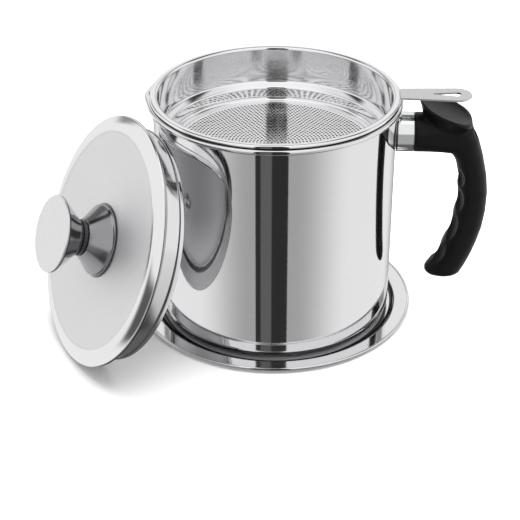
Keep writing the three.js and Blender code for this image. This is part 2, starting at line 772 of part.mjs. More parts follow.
const lid = leaningLid();
container.add(lid);
place(lid, 'lid_cover', lidCover(), polishedSteel);
place(lid, 'lid_skirt', lidSkirt(), polishedSteel);
place(lid, 'knob_base', knobBase(), chromedSteel);
place(lid, 'knob_neck', knobNeck(), darkCollar);
place(lid, 'knob_cap', knobCap(), chromedSteel);
place(lid, 'knob_face', knobFace(), satinSteel);
place(lid, 'knob_nut', knobNut(), zincSteel);
place(lid, 'knob_screw', knobScrew(), zincSteel);
place(lid, 'knob_washer', knobWasher(), zincSteel);

export default container;
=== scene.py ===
# %% [markdown]
# # A steel keeper for cooking fat
#
# The real object is four loose parts: a pot that stands on a shallow tray, a strainer that hangs in
# the pot, and a lid that leans on it. Nearly every piece is pressed or turned sheet metal, so nearly
# every piece here is a profile spun round an axis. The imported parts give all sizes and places, and
# this script puts a finer piece over each one and gives it its finish.

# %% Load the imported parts
import math

import bmesh
import bpy
from mathutils import Matrix, Vector


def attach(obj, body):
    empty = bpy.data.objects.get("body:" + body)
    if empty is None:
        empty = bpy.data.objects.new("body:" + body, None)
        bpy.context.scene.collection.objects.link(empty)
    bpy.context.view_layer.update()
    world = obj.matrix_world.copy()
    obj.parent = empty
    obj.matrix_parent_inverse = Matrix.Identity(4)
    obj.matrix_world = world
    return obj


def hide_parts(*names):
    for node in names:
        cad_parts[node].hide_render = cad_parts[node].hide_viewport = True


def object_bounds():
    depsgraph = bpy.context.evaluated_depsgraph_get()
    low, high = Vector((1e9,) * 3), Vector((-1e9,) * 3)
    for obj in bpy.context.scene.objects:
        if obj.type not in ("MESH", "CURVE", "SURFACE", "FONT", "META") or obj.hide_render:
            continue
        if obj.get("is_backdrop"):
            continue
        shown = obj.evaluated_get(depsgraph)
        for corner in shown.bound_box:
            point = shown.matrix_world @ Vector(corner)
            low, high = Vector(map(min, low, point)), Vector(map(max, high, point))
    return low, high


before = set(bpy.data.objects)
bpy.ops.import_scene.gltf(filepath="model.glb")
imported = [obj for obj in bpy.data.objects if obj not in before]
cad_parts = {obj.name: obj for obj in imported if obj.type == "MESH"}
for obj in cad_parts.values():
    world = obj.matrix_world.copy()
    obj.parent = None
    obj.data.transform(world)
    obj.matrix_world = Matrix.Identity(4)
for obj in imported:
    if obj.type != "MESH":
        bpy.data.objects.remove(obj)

MM = 0.001
cad_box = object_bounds()
box_in_mm = [[round(v / MM, 1) for v in corner] for corner in cad_box]
print("packed parts:", len(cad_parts), "box in mm:", box_in_mm)

# %% [markdown]
# ## The camera
#
# The photograph looks down on the pot from the front with a long lens, so the circles stay nearly
# true ellipses. Place, aim and focal length were measured from those ellipses, from the upright
# sides of the pot and from the tab. A shift isn't needed.

# %% Set up the camera
CAMERA_PLACE = Vector((26.1, -702.9, 442.0)) * MM
CAMERA_AIM = Vector((-8.45, -0.15, 25.28)) * MM

camera_data = bpy.data.cameras.new("camera")
camera_data.sensor_width = 36
camera_data.lens = 94.7
camera_data.clip_start = 0.01
camera = bpy.data.objects.new("camera", camera_data)
camera.location = CAMERA_PLACE
camera.rotation_euler = (CAMERA_AIM - CAMERA_PLACE).to_track_quat("-Z", "Y").to_euler()
bpy.context.scene.collection.objects.link(camera)
bpy.context.scene.camera = camera
print("camera to aim in mm:", round((CAMERA_AIM - CAMERA_PLACE).length / MM))

# %% [markdown]
# ## Small helpers for shader trees
#
# A finish is a tree of nodes. Two short helpers keep the trees readable: one adds a node and sets
# its values, and one adds a sum or product. An effect that several finishes share becomes a node
# group with named inputs and outputs, so that each finish can give it its own values.

# %% Helpers for shader trees
def add(tree, kind, inputs=None, **settings):
    """Add a node, with its plain settings and with values or links for its inputs."""
    node = tree.nodes.new(kind)
    for name, value in settings.items():
        setattr(node, name, value)
    for name, value in (inputs or {}).items():
        if isinstance(value, bpy.types.NodeSocket):
            tree.links.new(value, node.inputs[name])
        else:
            node.inputs[name].default_value = value
    return node


def sum_up(tree, operation, first, second=0.5, third=0.5):
    """Add a Math node and return its result."""
    inputs = {0: first, 1: second, 2: third}
    return add(tree, "ShaderNodeMath", inputs, operation=operation).outputs[0]


def mask(tree, value, low, high, smooth=False):
    """Turn a value to a mask that rises from 0 to 1 between two limits."""
    inputs = {"Value": value, "From Min": low, "From Max": high}
    kind = "SMOOTHSTEP" if smooth else "LINEAR"
    return add(tree, "ShaderNodeMapRange", inputs, interpolation_type=kind).outputs[0]


def node_group(name, inputs, outputs):
    """Start a node group from {input: starting value} and output names."""
    tree = bpy.data.node_groups.new(name, "ShaderNodeTree")
    for label, value in inputs.items():
        kind = "NodeSocketVector" if label == "Vector" else "NodeSocketFloat"
        socket = tree.interface.new_socket(name=label, in_out="INPUT", socket_type=kind)
        if value is not None:
            socket.default_value = value
    for label in outputs:
        tree.interface.new_socket(name=label, in_out="OUTPUT", socket_type="NodeSocketFloat")
    return tree, tree.nodes.new("NodeGroupInput").outputs, tree.nodes.new("NodeGroupOutput").inputs


def placed_group(tree, group, inputs):
    """Use a node group in a finish and return its outputs."""
    return add(tree, "ShaderNodeGroup", inputs, node_tree=group).outputs


# %% [markdown]
# ## Marks of the spinning lathe
#
# Drawn and polished sheet metal keeps fine lines that run round its axis: rings on a flat face,
# hoops on a wall. Both come from one noise that is read far more finely along the profile than
# along the turn. Radius and height are added up to one distance along the profile, and the turn is
# given by its cosine and sine, so the lines have no seam.

# %% Group: turned lines
lines_tree, lines_in, lines_out = node_group(
    "turned lines", {"Vector": None, "Lines per mm": 4.0, "Streak": 3.0}, ["Lines", "Radius"])
parts = add(lines_tree, "ShaderNodeSeparateXYZ", {0: lines_in["Vector"]}).outputs
flat_part = add(lines_tree, "ShaderNodeCombineXYZ", {"X": parts["X"], "Y": parts["Y"]}).outputs[0]
radius = add(lines_tree, "ShaderNodeVectorMath", {0: flat_part}, operation="LENGTH").outputs["Value"]
round_part = add(lines_tree, "ShaderNodeVectorMath", {0: flat_part}, operation="NORMALIZE").outputs[0]
turn_inputs = {0: round_part, "Scale": lines_in["Streak"]}
turn_part = add(lines_tree, "ShaderNodeVectorMath", turn_inputs, operation="SCALE").outputs[0]
along = sum_up(lines_tree, "ADD", radius, parts["Z"])
along = sum_up(lines_tree, "MULTIPLY", along, lines_in["Lines per mm"])
along = sum_up(lines_tree, "MULTIPLY", along, 1 / MM)
height_part = add(lines_tree, "ShaderNodeCombineXYZ", {"Z": along}).outputs[0]
place = add(lines_tree, "ShaderNodeVectorMath", {0: turn_part, 1: height_part}).outputs[0]
line_inputs = {"Vector": place, "Scale": 1.0, "Detail": 3.0, "Roughness": 0.6}
noise = add(lines_tree, "ShaderNodeTexNoise", line_inputs)
lines_tree.links.new(noise.outputs[0], lines_out["Lines"])
lines_tree.links.new(radius, lines_out["Radius"])

# %% [markdown]
# ## Marks of hands and cloths
#
# Polished steel is never evenly bright: a cloth leaves broad soft swipes, and fingers leave patches
# with a sharper edge. They change how sharp a reflection is and hardly its colour, so the group
# gives masks that the finishes add to their roughness.

# %% Group: handling marks
marks_tree, marks_in, marks_out = node_group(
    "handling marks", {"Vector": None, "Marks per mm": 0.05}, ["Swipes", "Patches"])
marks_scale = sum_up(marks_tree, "MULTIPLY", marks_in["Marks per mm"], 1 / MM)
swipe_inputs = {"Vector": marks_in["Vector"], "Scale": marks_scale, "Detail": 4.0,
                "Roughness": 0.55, "Distortion": 0.6}
swipes = add(marks_tree, "ShaderNodeTexNoise", swipe_inputs)
marks_tree.links.new(swipes.outputs[0], marks_out["Swipes"])
patch_scale = sum_up(marks_tree, "MULTIPLY", marks_scale, 2.3)
patch_inputs = {"Vector": marks_in["Vector"], "Scale": patch_scale, "Detail": 6.0, "Roughness": 0.7}
patches = add(marks_tree, "ShaderNodeTexNoise", patch_inputs).outputs[0]
marks_tree.links.new(mask(marks_tree, patches, 0.52, 0.66), marks_out["Patches"])

# %% [markdown]
# ## Worn edges
#
# Edges and hems are rubbed by every cloth and every other piece. Cycles gives a measure of how
# sharply a surface is bent outwards. The group turns it to a mask and breaks it up with noise.

# %% Group: worn edges
wear_tree, wear_in, wear_out = node_group(
    "worn edges", {"Vector": None, "Pointiness": 0.5, "Start": 0.52, "End": 0.6}, ["Wear"])
bent = mask(wear_tree, wear_in["Pointiness"], wear_in["Start"], wear_in["End"])
broken_inputs = {"Vector": wear_in["Vector"], "Scale": 0.4 / MM, "Detail": 5.0}
broken = add(wear_tree, "ShaderNodeTexNoise", broken_inputs).outputs[0]
broken = mask(wear_tree, broken, 0.35, 0.6)
wear_tree.links.new(sum_up(wear_tree, "MULTIPLY", bent, broken), wear_out["Wear"])

# %% [markdown]
# ## Fine scratches
#
# Steel that is put away with other steel gets hair-thin scratches that cross each other. Cells of a
# Voronoi texture that are pulled out to needles have long straight borders, so a narrow mask of the
# distance to a border gives such lines. Two sets at different turns cross.

# %% Group: fine scratches
scratch_tree, scratch_in, scratch_out = node_group(
    "fine scratches", {"Vector": None, "Scratches per mm": 0.25}, ["Scratches"])
scratch_scale = sum_up(scratch_tree, "MULTIPLY", scratch_in["Scratches per mm"], 1 / MM)
scratch_sets = []
for turn in (35, -50):
    pulled = {"Vector": scratch_in["Vector"],
              "Rotation": (math.radians(20), math.radians(15), math.radians(turn)),
              "Scale": (1.0, 0.06, 0.3)}
    needles = add(scratch_tree, "ShaderNodeMapping", pulled).outputs[0]
    needle_inputs = {"Vector": needles, "Scale": scratch_scale}
    needles = add(scratch_tree, "ShaderNodeTexVoronoi", needle_inputs, feature="DISTANCE_TO_EDGE")
    border = needles.outputs["Distance"]
    scratch_sets.append(mask(scratch_tree, border, 0.03, 0.0))
crossed = sum_up(scratch_tree, "MAXIMUM", *scratch_sets)
scratch_tree.links.new(crossed, scratch_out["Scratches"])

# %% [markdown]
# ## Painted seam shade
#
# Where two pressed sheets meet, the narrow gap between them lies in shade. That shade is painted
# into the steel's colour. On turned pieces every such gap is a ring, so the group is given the
# ring's radius and height and darkens what lies closer to it than a width.

# %% Group: painted seam shade
seam_shade_tree, seam_shade_in, seam_shade_out = node_group(
    "painted seam shade", {"Vector": None, "Radius": 0.05, "Height": 0.0, "Width": 0.001}, ["Seam"])
seam_parts = add(seam_shade_tree, "ShaderNodeSeparateXYZ", {0: seam_shade_in["Vector"]}).outputs
seam_flat = add(seam_shade_tree, "ShaderNodeCombineXYZ", {"X": seam_parts["X"], "Y": seam_parts["Y"]}).outputs[0]
seam_radius = add(seam_shade_tree, "ShaderNodeVectorMath", {0: seam_flat}, operation="LENGTH").outputs["Value"]
off_side = sum_up(seam_shade_tree, "SUBTRACT", seam_radius, seam_shade_in["Radius"])
off_height = sum_up(seam_shade_tree, "SUBTRACT", seam_parts["Z"], seam_shade_in["Height"])
seam_offset = add(seam_shade_tree, "ShaderNodeCombineXYZ", {"X": off_side, "Y": off_height}).outputs[0]
seam_away = add(seam_shade_tree, "ShaderNodeVectorMath", {0: seam_offset}, operation="LENGTH").outputs["Value"]
seam_share = sum_up(seam_shade_tree, "DIVIDE", seam_away, seam_shade_in["Width"])
seam_shade_tree.links.new(mask(seam_shade_tree, seam_share, 1.0, 0.7, True), seam_shade_out["Seam"])

# %% [markdown]
# ## Steel finishes
#
# All the steel here is one metal with different polish. One function builds such a finish from its
# colour, its roughness and the strength of its lines, and each piece gets its own tree, because
# the lines have to be centred on that piece's own axis. A Mapping node does the centring.

# %% The axes of the turned pieces
LID_AZIMUTH = math.radians(209)
LID_LEAN = math.acos(0.9272)
POT_RADIUS, SKIRT_RADIUS, SKIRT_DEPTH, ARM_HEIGHT = 68.3, 65.1, 14.8, 111.8
TOUCH_GAP = 0.3
lid_reach = POT_RADIUS + TOUCH_GAP + SKIRT_DEPTH * math.cos(LID_LEAN) + SKIRT_RADIUS * math.sin(LID_LEAN)
lid_height = SKIRT_DEPTH * math.sin(LID_LEAN) + SKIRT_RADIUS * math.cos(LID_LEAN)
lid_centre = Vector((lid_reach * math.cos(LID_AZIMUTH), lid_reach * math.sin(LID_AZIMUTH), lid_height)) * MM
on_pot = Matrix.Identity(4)
lid_turn = Matrix.Rotation(LID_AZIMUTH, 4, "Z") @ Matrix.Rotation(math.pi / 2 - LID_LEAN, 4, "Y")
on_lid = Matrix.Translation(lid_centre) @ lid_turn
on_arm = Matrix.Translation((0, 0, ARM_HEIGHT * MM)) @ Matrix.Rotation(math.pi / 2, 4, "Y")
print("lid centre in mm:", [round(v / MM, 1) for v in lid_centre])
print("lid leans by degrees:", round(math.degrees(LID_LEAN), 1))


# %% Make a steel finish
def steel(name, axis, colour, roughness, lines=0.0, lines_per_mm=4.0, streak=3.0,
          waves=0.0, hoops=0.0, smears=0.05, satin=None, painted_seam_shade=()):
    """Steel polished on a lathe whose axis is the Z axis of the given place.

    satin is (radius in mm, added roughness) for a face that is left duller inside that radius, and
    each ring of painted seam shade is (radius, height, width in mm, strength).
    """
    material = bpy.data.materials.new(name)
    material.use_nodes = True
    tree = material.node_tree
    shader = tree.nodes["Principled BSDF"]
    local = axis.inverted()
    coords = add(tree, "ShaderNodeTexCoord").outputs["Object"]
    centring = {"Vector": coords, "Location": local.to_translation(), "Rotation": local.to_euler()}
    centred = add(tree, "ShaderNodeMapping", centring).outputs[0]
    turning_inputs = {"Vector": centred, "Lines per mm": lines_per_mm, "Streak": streak}
    turning = placed_group(tree, lines_tree, turning_inputs)
    turned_lines = turning["Lines"]
    marks = placed_group(tree, marks_tree, {"Vector": centred, "Marks per mm": 0.03})
    scratches = placed_group(tree, scratch_tree, {"Vector": centred})["Scratches"]
    pointed = add(tree, "ShaderNodeNewGeometry").outputs["Pointiness"]
    wear = placed_group(tree, wear_tree, {"Vector": centred, "Pointiness": pointed})["Wear"]

    spread = sum_up(tree, "MULTIPLY_ADD", marks["Swipes"], smears, roughness - smears / 2)
    spread = sum_up(tree, "MULTIPLY_ADD", marks["Patches"], smears / 2, spread)
    spread = sum_up(tree, "MULTIPLY_ADD", scratches, smears / 2, spread)
    spread = sum_up(tree, "MULTIPLY_ADD", turned_lines, lines / 2, spread)
    spread = sum_up(tree, "MULTIPLY_ADD", wear, 0.06, spread)
    if satin:
        inside = mask(tree, turning["Radius"], satin[0] * MM, (satin[0] - 1) * MM)
        spread = sum_up(tree, "MULTIPLY_ADD", inside, satin[1], spread)
    tree.links.new(spread, shader.inputs["Roughness"])

    tone = sum_up(tree, "MULTIPLY_ADD", turned_lines, 0.1, 0.94)
    tone = sum_up(tree, "MULTIPLY_ADD", marks["Swipes"], 0.04, tone)
    tone = sum_up(tree, "MULTIPLY_ADD", wear, 0.05, tone)
    # Painted shade: each ring darkens the base colour where a narrow gap lies in shade.
    for seam_r, seam_z, seam_width, strength in painted_seam_shade:
        seam_inputs = {"Vector": centred, "Radius": seam_r * MM, "Height": seam_z * MM,
                       "Width": seam_width * MM}
        seam = placed_group(tree, seam_shade_tree, seam_inputs)["Seam"]
        tone = sum_up(tree, "MULTIPLY", tone, sum_up(tree, "MULTIPLY_ADD", seam, -strength, 1.0))
    tint = add(tree, "ShaderNodeVectorMath", {0: colour, "Scale": tone}, operation="SCALE").outputs[0]
    tree.links.new(tint, shader.inputs["Base Color"])

    waviness = sum_up(tree, "MULTIPLY", marks["Swipes"], waves * MM)
    if hoops:
        hooping = {"Vector": centred, "Lines per mm": 0.35, "Streak": 1.5}
        hoop_lines = placed_group(tree, lines_tree, hooping)["Lines"]
        waviness = sum_up(tree, "MULTIPLY_ADD", hoop_lines, hoops * MM, waviness)
    relief = sum_up(tree, "MULTIPLY_ADD", turned_lines, lines * 0.02 * MM, waviness)
    bump = add(tree, "ShaderNodeBump", {"Height": relief, "Distance": 1.0, "Strength": 1.0}).outputs[0]
    tree.links.new(bump, shader.inputs["Normal"])
    shader.inputs["Metallic"].default_value = 1.0
    return material


# %% [markdown]
# ## Turned pieces
#
# A turned piece is a line of corners in (radius, height, rounding) millimetres. Each corner that has
# a rounding is beveled while the line is still a wire, and the wire is then spun through a full
# turn. Doubles are merged, because the spin leaves many points on the axis. The piece is then
# laid in place, and its normals are weighted by face area, so that long walls stay mirror-flat
# next to their small bends.

# %% Helpers for turned pieces
def outline_wire(corners, segments=6):
    """A wire in the XZ plane, with its corners rounded."""
    bm = bmesh.new()
    dots = [bm.verts.new((radius * MM, 0, height * MM)) for radius, height, *_ in corners]
    pairs = list(zip(dots, dots[1:]))
    if corners[0][0] > 0:
        pairs.append((dots[-1], dots[0]))
    for pair in pairs:
        bm.edges.new(pair)
    for dot, (*_, rounding) in zip(dots, corners):
        if rounding:
            bmesh.ops.bevel(bm, geom=[dot], offset=rounding * MM, offset_type="OFFSET", segments=segments,
                            profile=0.5, affect="VERTICES", material=-1)
    return bm


def turned(corners, steps=240, segments=6):
    """A closed shell: the rounded wire spun round the Z axis."""
    bm = outline_wire(corners, segments)
    bmesh.ops.spin(bm, geom=bm.verts[:] + bm.edges[:], cent=(0, 0, 0), axis=(0, 0, 1), dvec=(0, 0, 0),
                   angle=math.tau, steps=steps, use_merge=True, use_duplicate=False)
    bmesh.ops.remove_doubles(bm, verts=bm.verts, dist=0.0005 * MM)
    bmesh.ops.recalc_face_normals(bm, faces=bm.faces)
    return bm


def finished(name, bm, place, body, nodes, material, sharp=35, weighted=True):
    """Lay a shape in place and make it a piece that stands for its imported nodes."""
    bmesh.ops.transform(bm, matrix=place, verts=bm.verts)
    open_edges = sum(len(edge.link_faces) != 2 for edge in bm.edges)
    mesh = bpy.data.meshes.new(name)
    bm.to_mesh(mesh)
    bm.free()
    mesh.shade_smooth()
    mesh.set_sharp_from_angle(angle=math.radians(sharp))
    mesh.materials.append(material)
    piece = bpy.data.objects.new(name, mesh)
    bpy.context.scene.collection.objects.link(piece)
    if weighted:
        even = piece.modifiers.new("even shading", "WEIGHTED_NORMAL")
        even.keep_sharp = True
    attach(piece, body)
    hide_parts(*nodes)
    triangles = sum(len(face.vertices) - 2 for face in mesh.polygons)
    print(f"{name}: {triangles} triangles, {open_edges} open edges")
    return piece


# %% [markdown]
# ## The pot
#
# One drawn sheet: a flat bottom, a wall with a small bend at its foot, and a rim that is rolled to a
# bead. The pour lip is pinched into the finished rim with two fingers of a press, so it is made that
# way here too: the round pot is cut into a few extra hoops under the rim, and their points
# are then moved outwards, most at the rim and fading out down the throat. The press also thins the
# bead there, so its inner side moves a little further and leaves a slit beside the strainer.
# Only the outside is buffed to a mirror. The inside keeps the satin of the drawing press, so it
# scatters light up out of the deep pot, where a mirror would pass it round and round and go black.

# %% Turn the pot
POT_FOOT, POT_TOP, BEAD_OUTER, WALL_INNER = 1.1, 132.3, 71.6, 67.4
BEAD_FOOT, BEAD_ROUNDING = 129.36, 1.45
pot_shape = turned([
    (0, POT_FOOT, 0), (POT_RADIUS, POT_FOOT, 4.79),
    (POT_RADIUS, BEAD_FOOT, 0.1), (BEAD_OUTER, BEAD_FOOT, BEAD_ROUNDING),
    (BEAD_OUTER, POT_TOP, BEAD_ROUNDING),
    (WALL_INNER, POT_TOP, BEAD_ROUNDING), (WALL_INNER, 2.0, 3.89), (0, 2.0, 0),
], steps=360)
print("pot points:", len(pot_shape.verts))

# %% Pinch the pour lip
LIP_REACH, LIP_DEPTH, LIP_TIP_SHARE, LIP_HOOPS = 2.7, 22.0, 0.12, 11
BEAD_MIDDLE, LIP_THINNING = 69.5, 0.45
for hoop in range(1, LIP_HOOPS + 1):
    level = (POT_TOP - LIP_DEPTH * hoop / LIP_HOOPS) * MM
    bmesh.ops.bisect_plane(pot_shape, geom=pot_shape.verts[:] + pot_shape.edges[:] + pot_shape.faces[:],
                           dist=0.01 * MM, plane_co=(0, 0, level), plane_no=(0, 0, 1))
half_angle = math.acos(BEAD_OUTER / (BEAD_OUTER + LIP_REACH))
for point in pot_shape.verts:
    drop = (POT_TOP - point.co.z / MM) / LIP_DEPTH
    off = math.hypot(math.atan2(point.co.y, -point.co.x), half_angle * LIP_TIP_SHARE)
    if drop < 1 and off < half_angle:
        inside = (BEAD_MIDDLE - math.hypot(point.co.x, point.co.y) / MM) / (BEAD_MIDDLE - WALL_INNER)
        thinning = 1 + LIP_THINNING * max(0, min(1, inside))
        stretch = 1 + (1 / math.cos(half_angle - off) - 1) * (1 - drop) ** 2 * thinning
        point.co.x *= stretch
        point.co.y *= stretch
print("lip tip at x in mm:", round(min(point.co.x for point in pot_shape.verts) / MM, 2))

# %% Finish the pot
STEEL_COLOUR = (0.83, 0.83, 0.84)
# Painted shade rings: the gap under the strainer's flange, and the pot's foot in the tray.
pot_steel = steel("pot_steel", on_pot, STEEL_COLOUR, 0.045, lines=0.02,
                  waves=0.004, hoops=0.003, smears=0.03,
                  satin=(POT_RADIUS, 0.55), painted_seam_shade=[(68.5, 132.2, 1.75, 0.85), (67.9, 3.6, 1.7, 0.93)])
finished("pot_shell", pot_shape, on_pot, "pot", ["pot_body"], pot_steel)

# %% [markdown]
# ## The drip tray
#
# A pressed disc: a sunk floor for the pot, a short slope, a flat brim and a rolled edge.

# %% Turn the tray
tray_shape = turned([
    (0, 0, 0), (71.2, 0, 0.8), (73.2, 1.9, 0.6), (80.4, 1.9, 0.3), (80.7, 1.9, 0), (81.45, 2.1, 0.6),
    (81.45, 3.4, 0.7), (80.2, 3.4, 0.5), (80.0, 2.7, 0.3), (72.8, 2.7, 0.7), (70.8, 0.8, 0.9), (0, 0.8, 0),
], steps=300)
# Painted shade rings: the well round the pot's foot, and under the rolled edge.
tray_steel = steel("tray_steel", on_pot, STEEL_COLOUR, 0.07, lines=0.03, waves=0.003, smears=0.04,
                   painted_seam_shade=[(70.6, 0.9, 1.1, 0.93), (81.4, 2.1, 0.6, 0.8)])
finished("tray_shell", tray_shape, on_pot, "tray", ["drip_tray"], tray_steel)

# %% [markdown]
# ## The strainer
#
# The strainer hangs on the pot's bead by a rounded flange. Its wall steps in once, and the floor is
# a plain ring with a sunk ledge, on which the perforated disc lies.

# %% Turn the strainer's cup
cup_shape = turned([
    (70.0, 132.6, 0.4), (70.0, 134.5, 1.5), (65.4, 134.5, 1.8), (65.4, 112.6, 0.9), (60.8, 110.4, 0.9),
    (60.8, 102.7, 2.3), (56.6, 102.7, 0.2), (56.5, 101.7, 0.1), (53.6, 101.7, 0.1), (53.6, 101.0, 0.1),
    (56.5, 101.0, 0.2), (57.2, 102.0, 0.3), (61.5, 102.0, 2.3), (61.5, 109.7, 0.9), (66.1, 111.9, 0.9),
    (66.1, 132.6, 0.4),
], steps=300)
# Painted shade rings: the flange's outer edge over the bead, and its inner edge.
strainer_steel = steel("strainer_steel", on_pot, (0.88, 0.88, 0.89), 0.06,
                       lines=0.06, lines_per_mm=2.0, waves=0.05,
                       hoops=0.02, smears=0.04, painted_seam_shade=[(70.0, 132.6, 0.6, 0.8), (66.8, 134.1, 0.5, 0.3)])
finished("strainer_shell", cup_shape, on_pot, "strainer", ["strainer_cup"], strainer_steel)

# %% [markdown]
# ## The perforated disc
#
# The holes stand in rings, six more in each ring than in the last, so a sixth of the disc has
# everything and none of its holes touches the cut. That sixth is drawn as loops, filled with
# triangles in one go, turned into place six times and given its thickness by extrusion. A hole has
# eight sides, which keeps two thousand of them light. The punch leaves the holes' walls rough, and
# their near-black colour is painted shade for the shade inside the holes, so they get a finish of
# their own.

# %% Fill one sixth of the disc
SCREEN_RADIUS, SCREEN_FOOT, SCREEN_SHEET = 56.2, 102.0, 0.7
HOLE_RINGS, RING_PITCH, HOLE_RADIUS, HOLE_SIDES = 26, 2.06, 0.7, 8
RIM_STEPS = 30
SIXTH = math.tau / 6
screen_shape = bmesh.new()
rim_turns = [Matrix.Rotation(SIXTH * step / RIM_STEPS, 3, "Z") for step in range(RIM_STEPS + 1)]
rim_dots = [screen_shape.verts.new(turn @ Vector((SCREEN_RADIUS * MM, 0, 0))) for turn in rim_turns]
middle_dot = screen_shape.verts.new((0, 0, 0))
for pair in zip([middle_dot, *rim_dots], [*rim_dots, middle_dot]):
    screen_shape.edges.new(pair)
for ring in range(1, HOLE_RINGS + 1):
    for hole in range(ring):
        turn = Matrix.Rotation(SIXTH * (hole + 0.5) / ring, 4, "Z")
        out = Matrix.Translation((ring * RING_PITCH * MM, 0, 0))
        bmesh.ops.create_circle(screen_shape, segments=HOLE_SIDES, radius=HOLE_RADIUS * MM, matrix=turn @ out)
bmesh.ops.triangle_fill(screen_shape, use_beauty=True, use_dissolve=False,
                        edges=screen_shape.edges[:], normal=(0, 0, 1))
print("one sixth:", len(screen_shape.faces), "triangles")

# %% Repeat the sixth and give the disc its thickness
bmesh.ops.spin(screen_shape, geom=screen_shape.verts[:] + screen_shape.edges[:] + screen_shape.faces[:],
               cent=(0, 0, 0), axis=(0, 0, 1), dvec=(0, 0, 0), angle=math.tau - SIXTH, steps=5,
               use_merge=False, use_duplicate=True)
bmesh.ops.remove_doubles(screen_shape, verts=screen_shape.verts, dist=0.01 * MM)
top = bmesh.ops.extrude_face_region(screen_shape, geom=screen_shape.faces[:])["geom"]
raised = [item for item in top if isinstance(item, bmesh.types.BMVert)]
bmesh.ops.translate(screen_shape, vec=(0, 0, SCREEN_SHEET * MM), verts=raised)
bmesh.ops.recalc_face_normals(screen_shape, faces=screen_shape.faces)
in_ledge = Matrix.Translation((0, 0, SCREEN_FOOT * MM))
screen_steel = steel("screen_steel", on_pot, (0.95, 0.95, 0.96), 0.2, lines=0.01, waves=0.002, smears=0.06)
# Painted shade: the holes' walls are coloured near black for the shade inside the holes.
hole_shade_steel = steel("hole_shade_steel", on_pot, (0.05, 0.05, 0.05), 0.5, smears=0.1)
for face in screen_shape.faces:
    face.material_index = int(abs(face.normal.z) < 0.5)
screen = finished("screen_disc", screen_shape, in_ledge, "strainer", ["strainer_screen"],
                  screen_steel, weighted=False)
screen.data.materials.append(hole_shade_steel)

# %% [markdown]
# ## The strainer's tab
#
# A flat strip is cut out of sheet and welded to the flange, and it lies over the handle for the
# thumb. Its outline is a four-cornered wire whose two outer corners are beveled so far that
# they meet in a round end. The teardrop slot is a second wire, and one fill makes the strip with
# the slot left open.

# %% Cut out the tab
TAB_FOOT, TAB_SHEET, TAB_ROOT, TAB_END = 133.9, 1.2, 69.5, 109.2
tab_shape = bmesh.new()


def flat_loop(bm, corners, segments=12):
    """A closed wire in the XY plane, from (x, y, rounding) in millimetres."""
    dots = [bm.verts.new((x * MM, y * MM, 0)) for x, y, _ in corners]
    for pair in zip(dots, dots[1:] + dots[:1]):
        bm.edges.new(pair)
    for dot, (*_, rounding) in zip(dots, corners):
        if rounding:
            bmesh.ops.bevel(bm, geom=[dot], offset=rounding * MM, offset_type="OFFSET", segments=segments,
                            profile=0.5, affect="VERTICES", material=-1)


flat_loop(tab_shape, [(TAB_ROOT, -6.7, 0), (TAB_END, -8.9, 8.85), (TAB_END, 8.9, 8.85), (TAB_ROOT, 6.7, 0)])
flat_loop(tab_shape, [(103.2, -3.2, 3.15), (103.2, 3.2, 3.15), (87.6, 0.5, 0.45), (87.6, -0.5, 0.45)])
bmesh.ops.triangle_fill(tab_shape, use_beauty=True, use_dissolve=True,
                        edges=tab_shape.edges[:], normal=(0, 0, 1))
top = bmesh.ops.extrude_face_region(tab_shape, geom=tab_shape.faces[:])["geom"]
raised = [item for item in top if isinstance(item, bmesh.types.BMVert)]
bmesh.ops.translate(tab_shape, vec=(0, 0, TAB_SHEET * MM), verts=raised)
bmesh.ops.recalc_face_normals(tab_shape, faces=tab_shape.faces)
print("tab:", len(tab_shape.faces), "faces")

# %% Round the tab's edges
crisp = [edge for edge in tab_shape.edges if edge.calc_face_angle(0) > math.radians(60)]
bmesh.ops.bevel(tab_shape, geom=crisp, offset=0.16 * MM, offset_type="OFFSET", segments=3, profile=0.5,
                affect="EDGES", material=-1)
on_flange = Matrix.Translation((0, 0, TAB_FOOT * MM))
tab_steel = steel("tab_steel", on_pot, (0.66, 0.66, 0.67), 0.26, lines=0.015, lines_per_mm=2.5, smears=0.06)
finished("tab_strip", tab_shape, on_flange, "strainer", ["strainer_tab"], tab_steel)

# %% [markdown]
# ## The handle's bracket
#
# A round cup, bright plated, stands out of the wall and takes the end of the grip. It is turned on
# the arm's axis. The points of its base are then slid along that axis onto the pot's wall, so the
# cup sits on the round wall all the way round.

# %% Turn the bracket and fit its base
BRACKET_MOUTH, BRACKET_RADIUS, BRACKET_INNER, BASE_RADIUS, INNER_FLOOR = 78.2, 11.3, 10.3, 68.6, 70.1
bracket_shape = turned([
    (0, BASE_RADIUS, 0), (2.8, BASE_RADIUS, 0), (5.6, BASE_RADIUS, 0), (8.4, BASE_RADIUS, 0),
    (BRACKET_RADIUS, BASE_RADIUS, 0), (BRACKET_RADIUS, BRACKET_MOUTH, 0.35),
    (BRACKET_INNER, BRACKET_MOUTH, 0.3),
    (BRACKET_INNER, INNER_FLOOR, 0.6), (0, INNER_FLOOR, 0),
], steps=128)
for point in bracket_shape.verts:
    if abs(point.co.z / MM - BASE_RADIUS) < 0.01:
        point.co.z = math.sqrt((BASE_RADIUS * MM) ** 2 - point.co.y ** 2)
# Painted shade rings: where the cup meets the wall, and round its mouth.
bracket_chrome = steel("bracket_chrome", on_arm, (0.87, 0.88, 0.88), 0.05, lines=0.02, smears=0.03,
                       painted_seam_shade=[(11.3, 68.0, 1.2, 0.9), (11.3, 78.2, 0.6, 0.7)])
finished("bracket_cup", bracket_shape, on_arm, "pot", ["handle_bracket"], bracket_chrome)

# %% [markdown]
# ## The grip
#
# The grip is one black moulding, and its soft changes of section are what a turned or extruded
# shape can't give. Its sections are circles that are squashed, made a little square and set across
# the line of the hand, then bridged one to the next. The thumb rest is added, and the thumb's
# hollow and the screw's recess are cut out. A voxel remesh makes one even net of it all. The
# finger grooves are pressed into that, and a few rounds of smoothing then melt the joins
# together, as the radii of a mould do.

